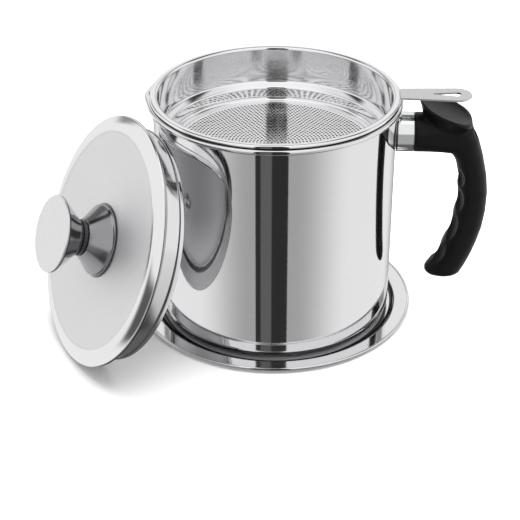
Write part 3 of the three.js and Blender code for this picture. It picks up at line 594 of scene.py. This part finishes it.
# %% Set out the sections
ARM_START, ARM_END, ARM_RADIUS, GRIP_DROP, GRIP_HALF = 78.5, 122.4, 11.3, 93.15, 10.0
SECTIONS = [
    (0.216, 0.121, 0.216, -0.121, 1.11, 2.05), (0.376, 0.123, 0.421, -0.119, 1.07, 2.2),
    (0.49, 0.127, 0.604, -0.108, 1.03, 2.3), (0.531, 0.156, 0.745, -0.054, 1, 2.4),
    (0.554, 0.18, 0.822, 0.019, 1, 2.4), (0.576, 0.223, 0.9, 0.137, 1, 2.4),
    (0.592, 0.293, 0.968, 0.271, 0.98, 2.4), (0.608, 0.384, 0.998, 0.389, 0.96, 2.4),
    (0.595, 0.486, 0.995, 0.518, 0.94, 2.4), (0.563, 0.583, 0.966, 0.631, 0.92, 2.4),
    (0.508, 0.685, 0.913, 0.73, 0.9, 2.4), (0.442, 0.77, 0.852, 0.824, 0.88, 2.3),
    (0.371, 0.843, 0.786, 0.903, 0.86, 2.2), (0.296, 0.896, 0.722, 0.968, 0.83, 2.1),
    (0.246, 0.929, 0.661, 0.988, 0.76, 2), (0.244, 0.957, 0.592, 0.996, 0.6, 2),
    (0.28, 0.982, 0.501, 1, 0.36, 2),
]


def grip_point(reach, drop):
    """A point of the grip's middle plane, from shares of its reach and its drop."""
    return Vector((ARM_START + (ARM_END - ARM_START) * reach, 0, ARM_HEIGHT - GRIP_DROP * drop)) * MM


def section_ring(bm, inner, outer, half_width, squareness):
    """A ring of points across the grip: a circle, squashed and made a little square."""
    ring = bmesh.ops.create_circle(bm, segments=32, radius=1.0)["verts"]
    for point in ring:
        for axis in (0, 1):
            value = point.co[axis]
            point.co[axis] = math.copysign(abs(value) ** (2 / squareness), value)
    half = (outer - inner) / 2
    forward = half.normalized().cross(Vector((0, 1, 0)))
    across = Matrix((half.normalized(), (0, 1, 0), forward)).transposed().to_4x4()
    size = Matrix.Diagonal((half.length, half_width * MM, 1, 1))
    bmesh.ops.transform(bm, matrix=Matrix.Translation((inner + outer) / 2) @ across @ size, verts=ring)
    return list({edge for point in ring for edge in point.link_edges})


# %% Bridge the sections
grip_shape = bmesh.new()
rings = []
for step in (0, 1, 4):
    low, high = (Vector((ARM_START + step, 0, ARM_HEIGHT + way * ARM_RADIUS)) * MM for way in (-1, 1))
    rings.append(section_ring(grip_shape, low, high, ARM_RADIUS, 2))
for x0, z0, x1, z1, width, squareness in SECTIONS:
    near, far = grip_point(x0, z0), grip_point(x1, z1)
    rings.append(section_ring(grip_shape, near, far, GRIP_HALF * width, squareness))
for first, second in zip(rings, rings[1:]):
    bmesh.ops.bridge_loops(grip_shape, edges=first + second)
bmesh.ops.holes_fill(grip_shape, edges=grip_shape.edges[:], sides=0)
bmesh.ops.recalc_face_normals(grip_shape, faces=grip_shape.faces)
open_edges = sum(len(edge.link_faces) != 2 for edge in grip_shape.edges)
print("grip:", len(rings), "sections,", open_edges, "open edges")

# %% Helper: join and cut closed shells
def combined(bm, joined=(), cut=(), finish=()):
    """Join and cut whole shells with modifiers, add more modifiers, and return the new mesh."""
    shapes = []
    for shape in (bm, *joined, *cut):
        mesh = bpy.data.meshes.new("shape")
        shape.to_mesh(mesh)
        shape.free()
        shapes.append(bpy.data.objects.new("shape", mesh))
        bpy.context.scene.collection.objects.link(shapes[-1])
    base, *tools = shapes
    for number, tool in enumerate(tools):
        step = base.modifiers.new("step", "BOOLEAN")
        step.solver = "EXACT"
        step.operation = "UNION" if number < len(joined) else "DIFFERENCE"
        step.object = tool
    for kind, settings in finish:
        step = base.modifiers.new(kind, kind)
        for name, value in settings.items():
            setattr(step, name, value)
    result = bmesh.new()
    result.from_object(base, bpy.context.evaluated_depsgraph_get())
    for shape in shapes:
        bpy.data.objects.remove(shape)
    return result


# %% Shape the thumb rest and its hollow
THUMB_NOSE, THUMB_LENGTH, THUMB_HALF = 80.4, 30.2, 16.4
THUMB_TOP, THUMB_FALL, THUMB_EDGE, THUMB_DISH, THUMB_SQUARE = 132.9, 12.5, 1.1, 2.4, 0.7


def tilted_ring(bm, inset, drop):
    """A ring that slopes down from the round nose of the thumb rest to its squarer back."""
    ring = bmesh.ops.create_circle(bm, segments=48, radius=1.0)["verts"]
    for point in ring:
        if point.co.x > 0:
            point.co.x **= THUMB_SQUARE
            point.co.y = math.copysign(abs(point.co.y) ** THUMB_SQUARE, point.co.y)
    half_length = (THUMB_LENGTH - 0.8 * inset) / 2
    slope = Matrix.Identity(4)
    slope.col[0] = Vector((half_length, 0, -THUMB_FALL / 2, 0)) * MM
    slope.col[1] = Vector((0, THUMB_HALF - inset, 0, 0)) * MM
    middle = Vector((THUMB_NOSE + 0.35 * inset + half_length, 0, THUMB_TOP - THUMB_FALL / 2 - drop))
    slope.col[3] = Vector((*(middle * MM), 1))
    bmesh.ops.transform(bm, matrix=slope, verts=ring)
    return list({edge for point in ring for edge in point.link_edges})


thumb_shape = bmesh.new()
thumb_sizes = [(7.4, 11), (4.9, 7.2), (2.95, 4.4), (1.2, 2.6), (0.25, 1.5), (0, 0.8), (0.3, 0)]
thumb_rings = [tilted_ring(thumb_shape, *size) for size in thumb_sizes]
for first, second in zip(thumb_rings, thumb_rings[1:]):
    bmesh.ops.bridge_loops(thumb_shape, edges=first + second)
bmesh.ops.holes_fill(thumb_shape, edges=thumb_shape.edges[:], sides=0)
bmesh.ops.recalc_face_normals(thumb_shape, faces=thumb_shape.faces)


def ellipsoid(half_sizes, tilt, centre):
    """A squashed ball, turned about the Y axis and moved, in millimetres."""
    bm = bmesh.new()
    size = Matrix.Diagonal((*(Vector(half_sizes) * MM), 1))
    place = Matrix.Translation(Vector(centre) * MM) @ Matrix.Rotation(tilt, 4, "Y") @ size
    bmesh.ops.create_uvsphere(bm, u_segments=48, v_segments=32, radius=1.0, matrix=place)
    return bm


thumb_tilt = math.atan2(THUMB_FALL, THUMB_LENGTH)
hollow_half = (math.hypot(THUMB_LENGTH, THUMB_FALL) / 2 - THUMB_EDGE, THUMB_HALF - THUMB_EDGE, THUMB_DISH)
hollow_place = (THUMB_NOSE + THUMB_LENGTH / 2, 0, THUMB_TOP - THUMB_FALL / 2)
thumb_hollow = ellipsoid(hollow_half, thumb_tilt, hollow_place)
print("thumb rest slopes at", round(math.degrees(thumb_tilt), 1), "degrees")

# %% Cut, fuse and even out the grip
def rod(radius, start, end):
    """A plain rod on the arm's axis."""
    bm = turned([(0, start, 0), (radius, start, 0), (radius, end, 0), (0, end, 0)], steps=64)
    bmesh.ops.transform(bm, matrix=on_arm, verts=bm.verts)
    return bm


grip_shape = combined(
    grip_shape, joined=[thumb_shape, rod(10.0, 75.9, 82)],
    cut=[thumb_hollow, rod(4.1, 74, 79.1), rod(2.0, 78, 124), rod(4.3, 106.0, 126)],
    finish=[("REMESH", {"mode": "VOXEL", "voxel_size": 0.5 * MM})])

# %% [markdown]
# ## The finger grooves
#
# Each groove is a shallow hollow on the inner edge, with a deeper scoop at each side where the
# fingertips wrap round. Cutting a dozen balls that nearly touch each other out of the grip is
# fragile: the cuts leave chips, and not the same ones each time. The grip is a fine even net
# by now, so the balls are pressed into it
# instead: a point inside a ball slides inwards to its surface.


# %% Press the grooves in
def press(bm, half_sizes, tilt, centre, into):
    """Slide every point inside a squashed ball along one direction to the ball's surface."""
    size = Matrix.Diagonal((*(Vector(half_sizes) * MM), 1))
    ball = Matrix.Translation(Vector(centre) * MM) @ Matrix.Rotation(tilt, 4, "Y") @ size
    to_ball = ball.inverted()
    step = to_ball.to_3x3() @ (into * MM)
    for point in bm.verts:
        spot = to_ball @ point.co
        if spot.length_squared < 1:
            along = spot.dot(step) / step.length_squared
            left = (1 - spot.length_squared) / step.length_squared
            point.co += into * MM * (math.sqrt(along * along + left) - along)


GROOVES = [(0.277, 0.07), (0.432, 0.088), (0.626, 0.105), (0.813, 0.084)]
GROOVE_DEPTH, SCOOP_DEPTH, SCOOP_HALF_WIDTH, SCOOP_SIDE = 0.4, 3.8, 9.2, 9.6
inner_edge = [grip_point(x0, z0) / MM for x0, z0, *_ in SECTIONS]
for middle, half in GROOVES:
    level = ARM_HEIGHT - GRIP_DROP * middle
    above, below = next(pair for pair in zip(inner_edge, inner_edge[1:]) if pair[0].z >= level > pair[1].z)
    centre = above.lerp(below, (above.z - level) / (above.z - below.z))
    lean = math.atan2(above.x - below.x, above.z - below.z)
    inwards = Vector((math.cos(lean), 0, -math.sin(lean)))
    length = GRIP_DROP * half
    press(grip_shape, (3 * GROOVE_DEPTH, 8.0, length), lean, centre - inwards * 2 * GROOVE_DEPTH, inwards)
    for side in (-1, 1):
        scoop = centre + Vector((0, side * SCOOP_SIDE, 0))
        press(grip_shape, (SCOOP_DEPTH, SCOOP_HALF_WIDTH, length), lean, scoop, inwards)
    print("groove at z in mm:", round(level, 1))

# %% Smooth the grip
SMOOTHINGS = 5
for _ in range(SMOOTHINGS):
    bmesh.ops.smooth_vert(grip_shape, verts=grip_shape.verts, factor=0.5,
                          use_axis_x=True, use_axis_y=True, use_axis_z=True)
print("grip:", sum(len(face.verts) - 2 for face in grip_shape.faces), "triangles")

# %% [markdown]
# ## The black moulding
#
# The grip is a hard, dark thermoset. Its mould was finely blasted, so it has a fine even grain, and
# the hand has rubbed its edges a little smoother.

# %% Group: moulded grain
grain_tree, grain_in, grain_out = node_group(
    "moulded grain", {"Vector": None, "Grains per mm": 3.0}, ["Relief", "Specks"])
grain_scale = sum_up(grain_tree, "MULTIPLY", grain_in["Grains per mm"], 1 / MM)
cell_inputs = {"Vector": grain_in["Vector"], "Scale": grain_scale}
cells = add(grain_tree, "ShaderNodeTexVoronoi", cell_inputs, feature="SMOOTH_F1").outputs["Distance"]
soft = add(grain_tree, "ShaderNodeTexNoise", {**cell_inputs, "Detail": 3.0}).outputs[0]
grain_tree.links.new(sum_up(grain_tree, "MULTIPLY", cells, soft), grain_out["Relief"])
grain_tree.links.new(mask(grain_tree, soft, 0.58, 0.72), grain_out["Specks"])


# %% Make a moulded finish
def moulded(name, colour, roughness, grain, gloss=0.5):
    """A dark moulding with fine grain, rubbed on its edges."""
    material = bpy.data.materials.new(name)
    material.use_nodes = True
    tree = material.node_tree
    shader = tree.nodes["Principled BSDF"]
    coords = add(tree, "ShaderNodeTexCoord").outputs["Object"]
    grains = placed_group(tree, grain_tree, {"Vector": coords, "Grains per mm": 3.0})
    marks = placed_group(tree, marks_tree, {"Vector": coords, "Marks per mm": 0.06})
    pointed = add(tree, "ShaderNodeNewGeometry").outputs["Pointiness"]
    wear_inputs = {"Vector": coords, "Pointiness": pointed, "Start": 0.515, "End": 0.6}
    wear = placed_group(tree, wear_tree, wear_inputs)["Wear"]

    spread = sum_up(tree, "MULTIPLY_ADD", marks["Swipes"], 0.16, roughness - 0.08)
    spread = sum_up(tree, "MULTIPLY_ADD", wear, -0.12, spread)
    spread = sum_up(tree, "MULTIPLY_ADD", grains["Specks"], 0.08, spread)
    tree.links.new(spread, shader.inputs["Roughness"])
    tone = sum_up(tree, "MULTIPLY_ADD", marks["Swipes"], 0.5, 0.75)
    tone = sum_up(tree, "MULTIPLY_ADD", wear, 0.9, tone)
    tint = add(tree, "ShaderNodeVectorMath", {0: colour, "Scale": tone}, operation="SCALE").outputs[0]
    tree.links.new(tint, shader.inputs["Base Color"])
    relief = sum_up(tree, "MULTIPLY", grains["Relief"], grain * MM)
    bump = add(tree, "ShaderNodeBump", {"Height": relief, "Distance": 1.0, "Strength": 1.0}).outputs[0]
    tree.links.new(bump, shader.inputs["Normal"])
    shader.inputs["Specular IOR Level"].default_value = gloss
    return material


# %% Finish the grip
grip_black = moulded("grip_black", (0.005, 0.005, 0.0055), 0.34, grain=0.02, gloss=0.16)
finished("grip_moulding", grip_shape, on_pot, "pot", ["handle_grip"], grip_black,
         sharp=60, weighted=False)

# %% [markdown]
# ## The lid
#
# The lid stands on the table and leans on the pot. Its cover is one pressed sheet: a round brim, a
# crease, a face that dips towards the middle, and a flat for the knob. A band with a folded hem is
# welded behind it and plugs into the strainer. All of it is turned on the lid's own axis and
# then laid in its leaning place.

# %% Turn the lid's cover
cover_shape = turned([
    (70.0, -1.5, 0.25), (70.0, 0.1, 0.7), (68.2, 1.1, 0.9), (65.7, 2.3, 1.3), (62.6, 3.12, 1.3), (60.5, 2.3, 0.9),
    (50, 1.85, 6), (35, 1.45, 6), (21.2, 1.3, 4), (2.3, 1.3, 0), (2.3, 0.5, 0), (21.2, 0.5, 4), (35, 0.65, 6),
    (50, 1.05, 6), (60.3, 1.5, 0.9), (62.5, 2.3, 1.2), (65.4, 1.5, 1.2), (67.7, 0.4, 0.8), (69.2, -0.3, 0.5),
    (69.2, -1.5, 0.25),
], steps=300)
# Painted shade rings: the crease, round the knob's foot, and under the brim's edge.
lid_steel = steel("lid_steel", on_lid, (0.89, 0.89, 0.9), 0.1, lines=0.03, waves=0.004,
                  smears=0.04, satin=(61, 0.48),
                  painted_seam_shade=[(60.6, 2.2, 0.8, 0.12), (20.4, 1.5, 0.5, 0.6), (70.0, -1.0, 0.9, 0.5)])
finished("lid_shell", cover_shape, on_lid, "lid", ["lid_cover"], lid_steel)

# %% Turn the lid's skirt
skirt_shape = turned([
    (60.5, 1.2, 0.1), (63.9, 1.2, 0.4), (64.6, 0.5, 0.4), (64.6, -11.8, 0.5), (65.1, -12.3, 0.4),
    (65.1, -14.3, 0.6), (64.6, -14.8, 0.3), (63.4, -14.8, 0.3), (63.4, -12.3, 0.3), (63.9, -11.8, 0.4),
    (63.9, 0.5, 0.2), (60.5, 0.5, 0.1),
], steps=300)
# Painted shade rings: where the band meets the cover, and above the hem.
skirt_steel = steel("skirt_steel", on_lid, STEEL_COLOUR, 0.09, lines=0.03, waves=0.004, smears=0.05,
                    painted_seam_shade=[(64.6, -0.5, 1.8, 0.85), (64.7, -12.0, 0.5, 0.8)])
finished("lid_band", skirt_shape, on_lid, "lid", ["lid_skirt"], skirt_steel)

# %% [markdown]
# ## The knob
#
# The knob is two bright cones, foot to foot, with a dark collar between them. The collar's black is
# partly its own colour and partly painted shade for the gap under the upper cone. A flat disc closes
# the upper cone. It is all held by one screw that comes up through the lid.

# %% Turn the knob
# Painted shade rings: where the knob's foot stands on the lid, under the disc's rim, and at the upper cone's
# foot.
foot_chrome = steel("foot_chrome", on_lid, (0.33, 0.33, 0.34), 0.13, lines=0.03, lines_per_mm=5.0, smears=0.05,
                    painted_seam_shade=[(20.2, 1.6, 0.7, 0.8)])
cap_chrome = steel("cap_chrome", on_lid, (0.6, 0.6, 0.61), 0.1, lines=0.03, lines_per_mm=5.0, smears=0.05,
                   painted_seam_shade=[(21.3, 29.6, 0.8, 0.8), (9.6, 15.7, 0.7, 0.7)])
base_shape = turned([
    (2.3, 1.6, 0), (20.2, 1.6, 0.3), (20.2, 3.4, 1.3), (15.0, 8.0, 3.2), (10.4, 12.9, 0.3), (2.3, 12.9, 0),
], steps=160)
finished("knob_foot", base_shape, on_lid, "lid", ["knob_base"], foot_chrome)
cap_shape = turned([
    (2.3, 15.7, 0), (9.6, 15.7, 0.3), (21.3, 29.4, 0.3), (20.1, 29.4, 0.2), (9.5, 17.1, 0.5), (2.3, 17.1, 0),
], steps=160)
finished("knob_cone", cap_shape, on_lid, "lid", ["knob_cap"], cap_chrome)
face_satin = steel("face_satin", on_lid, (0.82, 0.82, 0.83), 0.27, lines=0.02, lines_per_mm=2.5, smears=0.06)
face_shape = turned([(0, 29.7, 0), (21.3, 29.7, 0.3), (21.3, 30.8, 0.55), (0, 30.8, 0)], steps=160)
finished("knob_disc", face_shape, on_lid, "lid", ["knob_face"], face_satin)
# The collar's black is partly its own colour and partly painted shade for the gap under the upper cone.
collar_black_and_shade = moulded("collar_black_and_shade", (0.02, 0.02, 0.022), 0.25, grain=0.004)
neck_shape = turned([(2.3, 13.2, 0), (10.1, 13.2, 0.4), (10.1, 15.4, 0.4), (2.3, 15.4, 0)], steps=160)
finished("knob_collar", neck_shape, on_lid, "lid", ["knob_neck"], collar_black_and_shade)

# %% [markdown]
# ## Screws and washers
#
# Two plated machine screws hold the grip and the knob. Their heads are domed and have a cross
# recess, which is cut with two crossed bars.

# %% Turn the screws and washers
DRIVE_WIDTH, DRIVE_DEPTH = 1.1, 1.2


def machine_screw(shank, tip, head, seat, head_height):
    """A screw along Z, with its domed head above the seat."""
    top = seat + head_height
    bm = turned([
        (0, tip, 0), (shank, tip, 0.4), (shank, seat, 0.1), (head, seat, 0.2),
        (head, top, head_height * 0.8), (0, top, 0),
    ], steps=64)
    bars = []
    for turn in (0, math.pi / 2):
        bars.append(bmesh.new())
        size = Matrix.Diagonal((head * MM, DRIVE_WIDTH * MM, 2 * DRIVE_DEPTH * MM, 1))
        place = Matrix.Translation((0, 0, top * MM)) @ Matrix.Rotation(turn, 4, "Z")
        bmesh.ops.create_cube(bars[-1], size=1.0, matrix=place @ size)
    return combined(bm, cut=bars)


def washer(hole, rim, foot, thickness):
    """A flat ring with softened edges."""
    top = foot + thickness
    corners = [(hole, foot, 0.1), (rim, foot, 0.2), (rim, top, 0.2), (hole, top, 0.1)]
    return turned(corners, steps=64, segments=3)


under_lid = on_lid @ Matrix.Rotation(math.pi, 4, "X")
handle_zinc = steel("handle_zinc", on_arm, (0.66, 0.67, 0.68), 0.28, lines=0.1, smears=0.12)
lid_zinc = steel("lid_zinc", on_lid, (0.66, 0.67, 0.68), 0.28, lines=0.1, smears=0.12)
grip_screw = machine_screw(1.7, 72.4, 3.6, 107.4, 2.2)
finished("grip_screw", grip_screw, on_arm, "pot", ["handle_screw"], handle_zinc)
grip_washer = washer(2.0, 4.0, 106.3, 0.8)
finished("grip_washer", grip_washer, on_arm, "pot", ["handle_washer"], handle_zinc)
lid_screw = machine_screw(2.0, -20.8, 4.2, 0.9, 2.4)
finished("lid_screw", lid_screw, under_lid, "lid", ["knob_screw"], lid_zinc)
lid_washer = washer(2.3, 6.0, -0.6, 0.8)
finished("lid_washer", lid_washer, on_lid, "lid", ["knob_washer"], lid_zinc)

# %% [markdown]
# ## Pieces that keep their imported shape
#
# The stud inside the bracket and the nut inside the knob are seen only when the handle or the knob
# is taken apart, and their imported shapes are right, so they only get a finish.

# %% Finish the stud and the nut
stud_satin = steel("stud_satin", on_arm, (0.75, 0.75, 0.76), 0.3, lines=0.1, smears=0.1)
for node, material in (("handle_stud", stud_satin), ("knob_nut", lid_zinc)):
    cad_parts[node].material_slots[0].material = material
    print(node, "keeps its shape")

# %% [markdown]
# ## The table
#
# A plain pale table carries the shadows. Polished steel would mirror its far edge as a hard line, so
# mirrors don't see the table and read the light of the room at that angle.

# %% Lay the table
table_shape = bmesh.new()
just_below = Matrix.Translation((0, 0, -0.1 * MM))
bmesh.ops.create_grid(table_shape, x_segments=1, y_segments=1, size=4.0, matrix=just_below)
table_mesh = bpy.data.meshes.new("table")
table_shape.to_mesh(table_mesh)
table_shape.free()
table = bpy.data.objects.new("table", table_mesh)
bpy.context.scene.collection.objects.link(table)
table.visible_glossy = False
table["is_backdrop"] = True
table_paint = bpy.data.materials.new("table_paint")
table_paint.use_nodes = True
paint = table_paint.node_tree
paint_shader = paint.nodes["Principled BSDF"]
paint_coords = add(paint, "ShaderNodeTexCoord").outputs["Object"]
mottle = add(paint, "ShaderNodeTexNoise", {"Vector": paint_coords, "Scale": 60.0, "Detail": 4.0}).outputs[0]
paint.links.new(sum_up(paint, "MULTIPLY_ADD", mottle, 0.1, 0.6), paint_shader.inputs["Roughness"])
paint_shader.inputs["Base Color"].default_value = (0.9, 0.9, 0.9, 1)
table_mesh.materials.append(table_paint)

# %% [markdown]
# ## The light of the room
#
# Polished metal has no colour of its own to show: it shows the room. A studio for such pieces is a
# plain white tent. It is open at the front, so it is greyer there, and low down also at the
# back, where less light gets. A dark screen at the left gives the metal some contrast, two dark
# posts carry the tent behind, the ground lies in shadow, and there is a gap under the roof. The
# tent is far away, so it is built by direction only, from a few given round tones.

# %% Start the room
room = bpy.data.worlds.new("room")
bpy.context.scene.world = room
room.use_nodes = True
sky = room.node_tree
direction = add(sky, "ShaderNodeTexCoord").outputs["Generated"]
axes = add(sky, "ShaderNodeSeparateXYZ", {0: direction}).outputs
angle = sum_up(sky, "ARCTAN2", axes["X"], sum_up(sky, "MULTIPLY", axes["Y"], -1.0))
turn = sum_up(sky, "ABSOLUTE", angle)


# %% Helpers for the room
def layered(amount, below, over):
    """Lay one brightness over another by a mask."""
    layer = add(sky, "ShaderNodeMix", {"Factor": amount}, data_type="RGBA")
    for socket, value in ((6, below), (7, over)):
        if isinstance(value, bpy.types.NodeSocket):
            sky.links.new(value, layer.inputs[socket])
        else:
            layer.inputs[socket].default_value = (value, value, value, 1)
    return layer.outputs[2]


FRONT_ENDS, SIDE_STARTS, SIDE_ENDS, BACK_STARTS = (math.radians(v) for v in (20, 80, 140, 170))


def tent_wall(front, side, back):
    """Brightness round the room: even at the front, and softly over to the sides and the back."""
    to_side = mask(sky, turn, FRONT_ENDS, SIDE_STARTS, True)
    to_back = mask(sky, turn, SIDE_ENDS, BACK_STARTS, True)
    return layered(to_back, layered(to_side, front, side), back)


def upright(degrees, half_width):
    """A mask for something upright that stands so many degrees round from the front."""
    aside = sum_up(sky, "ABSOLUTE", sum_up(sky, "SUBTRACT", angle, math.radians(degrees)))
    return mask(sky, aside, math.radians(half_width), math.radians(half_width / 2), True)


def sine(degrees):
    """The height of a direction that looks up by so many degrees."""
    return math.sin(math.radians(degrees))


# %% Hang the walls, the screen and the posts
SCREEN_TONE, SCREEN_AT, SCREEN_HALF = 0.1, -60, 30
POST_TONE, POST_AT, POST_HALF = 0.3, 140, 12
low_wall = tent_wall(0.4, 0.9, 0.4)
middle_wall = layered(upright(SCREEN_AT, SCREEN_HALF), tent_wall(0.4, 0.9, 0.7), SCREEN_TONE)
high_wall = tent_wall(0.9, 0.9, 0.9)
for post_side in (-POST_AT, POST_AT):
    high_wall = layered(upright(post_side, POST_HALF), high_wall, POST_TONE)

# %% Stack the bands
ROOF, GROUND, BACK_GAP = 1.1, 0.12, 0.05
light = layered(mask(sky, axes["Z"], sine(-26), sine(-18), True), low_wall, middle_wall)
light = layered(mask(sky, axes["Z"], sine(3), sine(11), True), light, high_wall)
gap_foot = mask(sky, axes["Z"], sine(43), sine(48), True)
gap_head = mask(sky, axes["Z"], sine(69), sine(62), True)
gap_back = mask(sky, axes["Y"], 0.12, 0.25, True)
gap = sum_up(sky, "MULTIPLY", sum_up(sky, "MULTIPLY", gap_foot, gap_head), gap_back)
light = layered(mask(sky, axes["Z"], sine(60), sine(72), True), light, ROOF)
light = layered(gap, light, BACK_GAP)
light = layered(mask(sky, axes["Z"], sine(-48), sine(-64), True), light, GROUND)
light = layered(add(sky, "ShaderNodeLightPath").outputs["Is Camera Ray"], light, 1.0)
sky.links.new(light, sky.nodes["Background"].inputs["Color"])

# %% [markdown]
# ## The dark card
#
# The pot's dark stripe is the mirror image of something near: a dark card in front of the table,
# with one paler strip. Because it is near, pieces beside the pot don't mirror it, so it has to be a
# real sheet and not a part of the room. Only mirrors see it: it throws no shadow.

# %% Stand the card
CARD_AWAY, CARD_LOW, CARD_HIGH = 200, -400, 700
card_from, card_to = -45, 45
card_shape = bmesh.new()
card_corners = [(card_from, CARD_LOW), (card_to, CARD_LOW), (card_to, CARD_HIGH), (card_from, CARD_HIGH)]
card_shape.faces.new([card_shape.verts.new((x * MM, -CARD_AWAY * MM, z * MM)) for x, z in card_corners])
card_mesh = bpy.data.meshes.new("dark_card")
card_shape.to_mesh(card_mesh)
card_shape.free()
card = bpy.data.objects.new("dark_card", card_mesh)
bpy.context.scene.collection.objects.link(card)
card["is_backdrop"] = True
for ray_kind in ("camera", "diffuse", "transmission", "volume_scatter", "shadow"):
    setattr(card, "visible_" + ray_kind, False)

# %% Paint the card
card_paint = bpy.data.materials.new("card_paint")
card_paint.use_nodes = True
card_tree = card_paint.node_tree
card_tree.nodes.remove(card_tree.nodes["Principled BSDF"])
card_place = add(card_tree, "ShaderNodeTexCoord").outputs["Object"]
card_side = add(card_tree, "ShaderNodeSeparateXYZ", {0: card_place}).outputs["X"]
CARD_DARK, STRIP_TONE, STRIP_MIDDLE, STRIP_HALF, STRIP_EDGE = 0.03, 0.12, -15, 15, 2
aside = sum_up(card_tree, "ABSOLUTE", sum_up(card_tree, "SUBTRACT", card_side, STRIP_MIDDLE * MM))
strip = mask(card_tree, aside, (STRIP_HALF + STRIP_EDGE) * MM, (STRIP_HALF - STRIP_EDGE) * MM, True)
card_tone = sum_up(card_tree, "MULTIPLY_ADD", strip, STRIP_TONE - CARD_DARK, CARD_DARK)
card_light = add(card_tree, "ShaderNodeEmission", {"Strength": card_tone}).outputs[0]
card_tree.links.new(card_light, card_tree.nodes["Material Output"].inputs["Surface"])
card_mesh.materials.append(card_paint)
print("card is", card_to - card_from, "mm wide and stands", CARD_AWAY, "mm in front")

# %% [markdown]
# ## The soft box
#
# One large soft box hangs high over the table, a little behind and to the right, so the shadows are
# soft, stay close and fall to the front left. Mirrors don't see it, because the room already has
# its bright roof.

# %% Hang the soft box
box_light = bpy.data.lights.new("soft_box", "AREA")
box_light.shape = "RECTANGLE"
BOX_SIDE, BOX_WATTS = 1.2, 23.0
box_light.size = BOX_SIDE
box_light.size_y = BOX_SIDE
box_light.energy = BOX_WATTS
soft_box = bpy.data.objects.new("soft_box", box_light)
soft_box.location = (0.16, 0.14, 1.0)
soft_box.rotation_euler = (-soft_box.location).to_track_quat("-Z", "Y").to_euler()
soft_box.visible_glossy = False
bpy.context.scene.collection.objects.link(soft_box)
bpy.context.scene.view_settings.view_transform = "Standard"

# %% Measure and finish
visual_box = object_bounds()
proud = [round(max(c - v, 0) / MM, 2) for c, v in zip(cad_box[0], visual_box[0])]
proud += [round(max(v - c, 0) / MM, 2) for c, v in zip(cad_box[1], visual_box[1])]
print("stands proud of the packed box by mm:", proud)
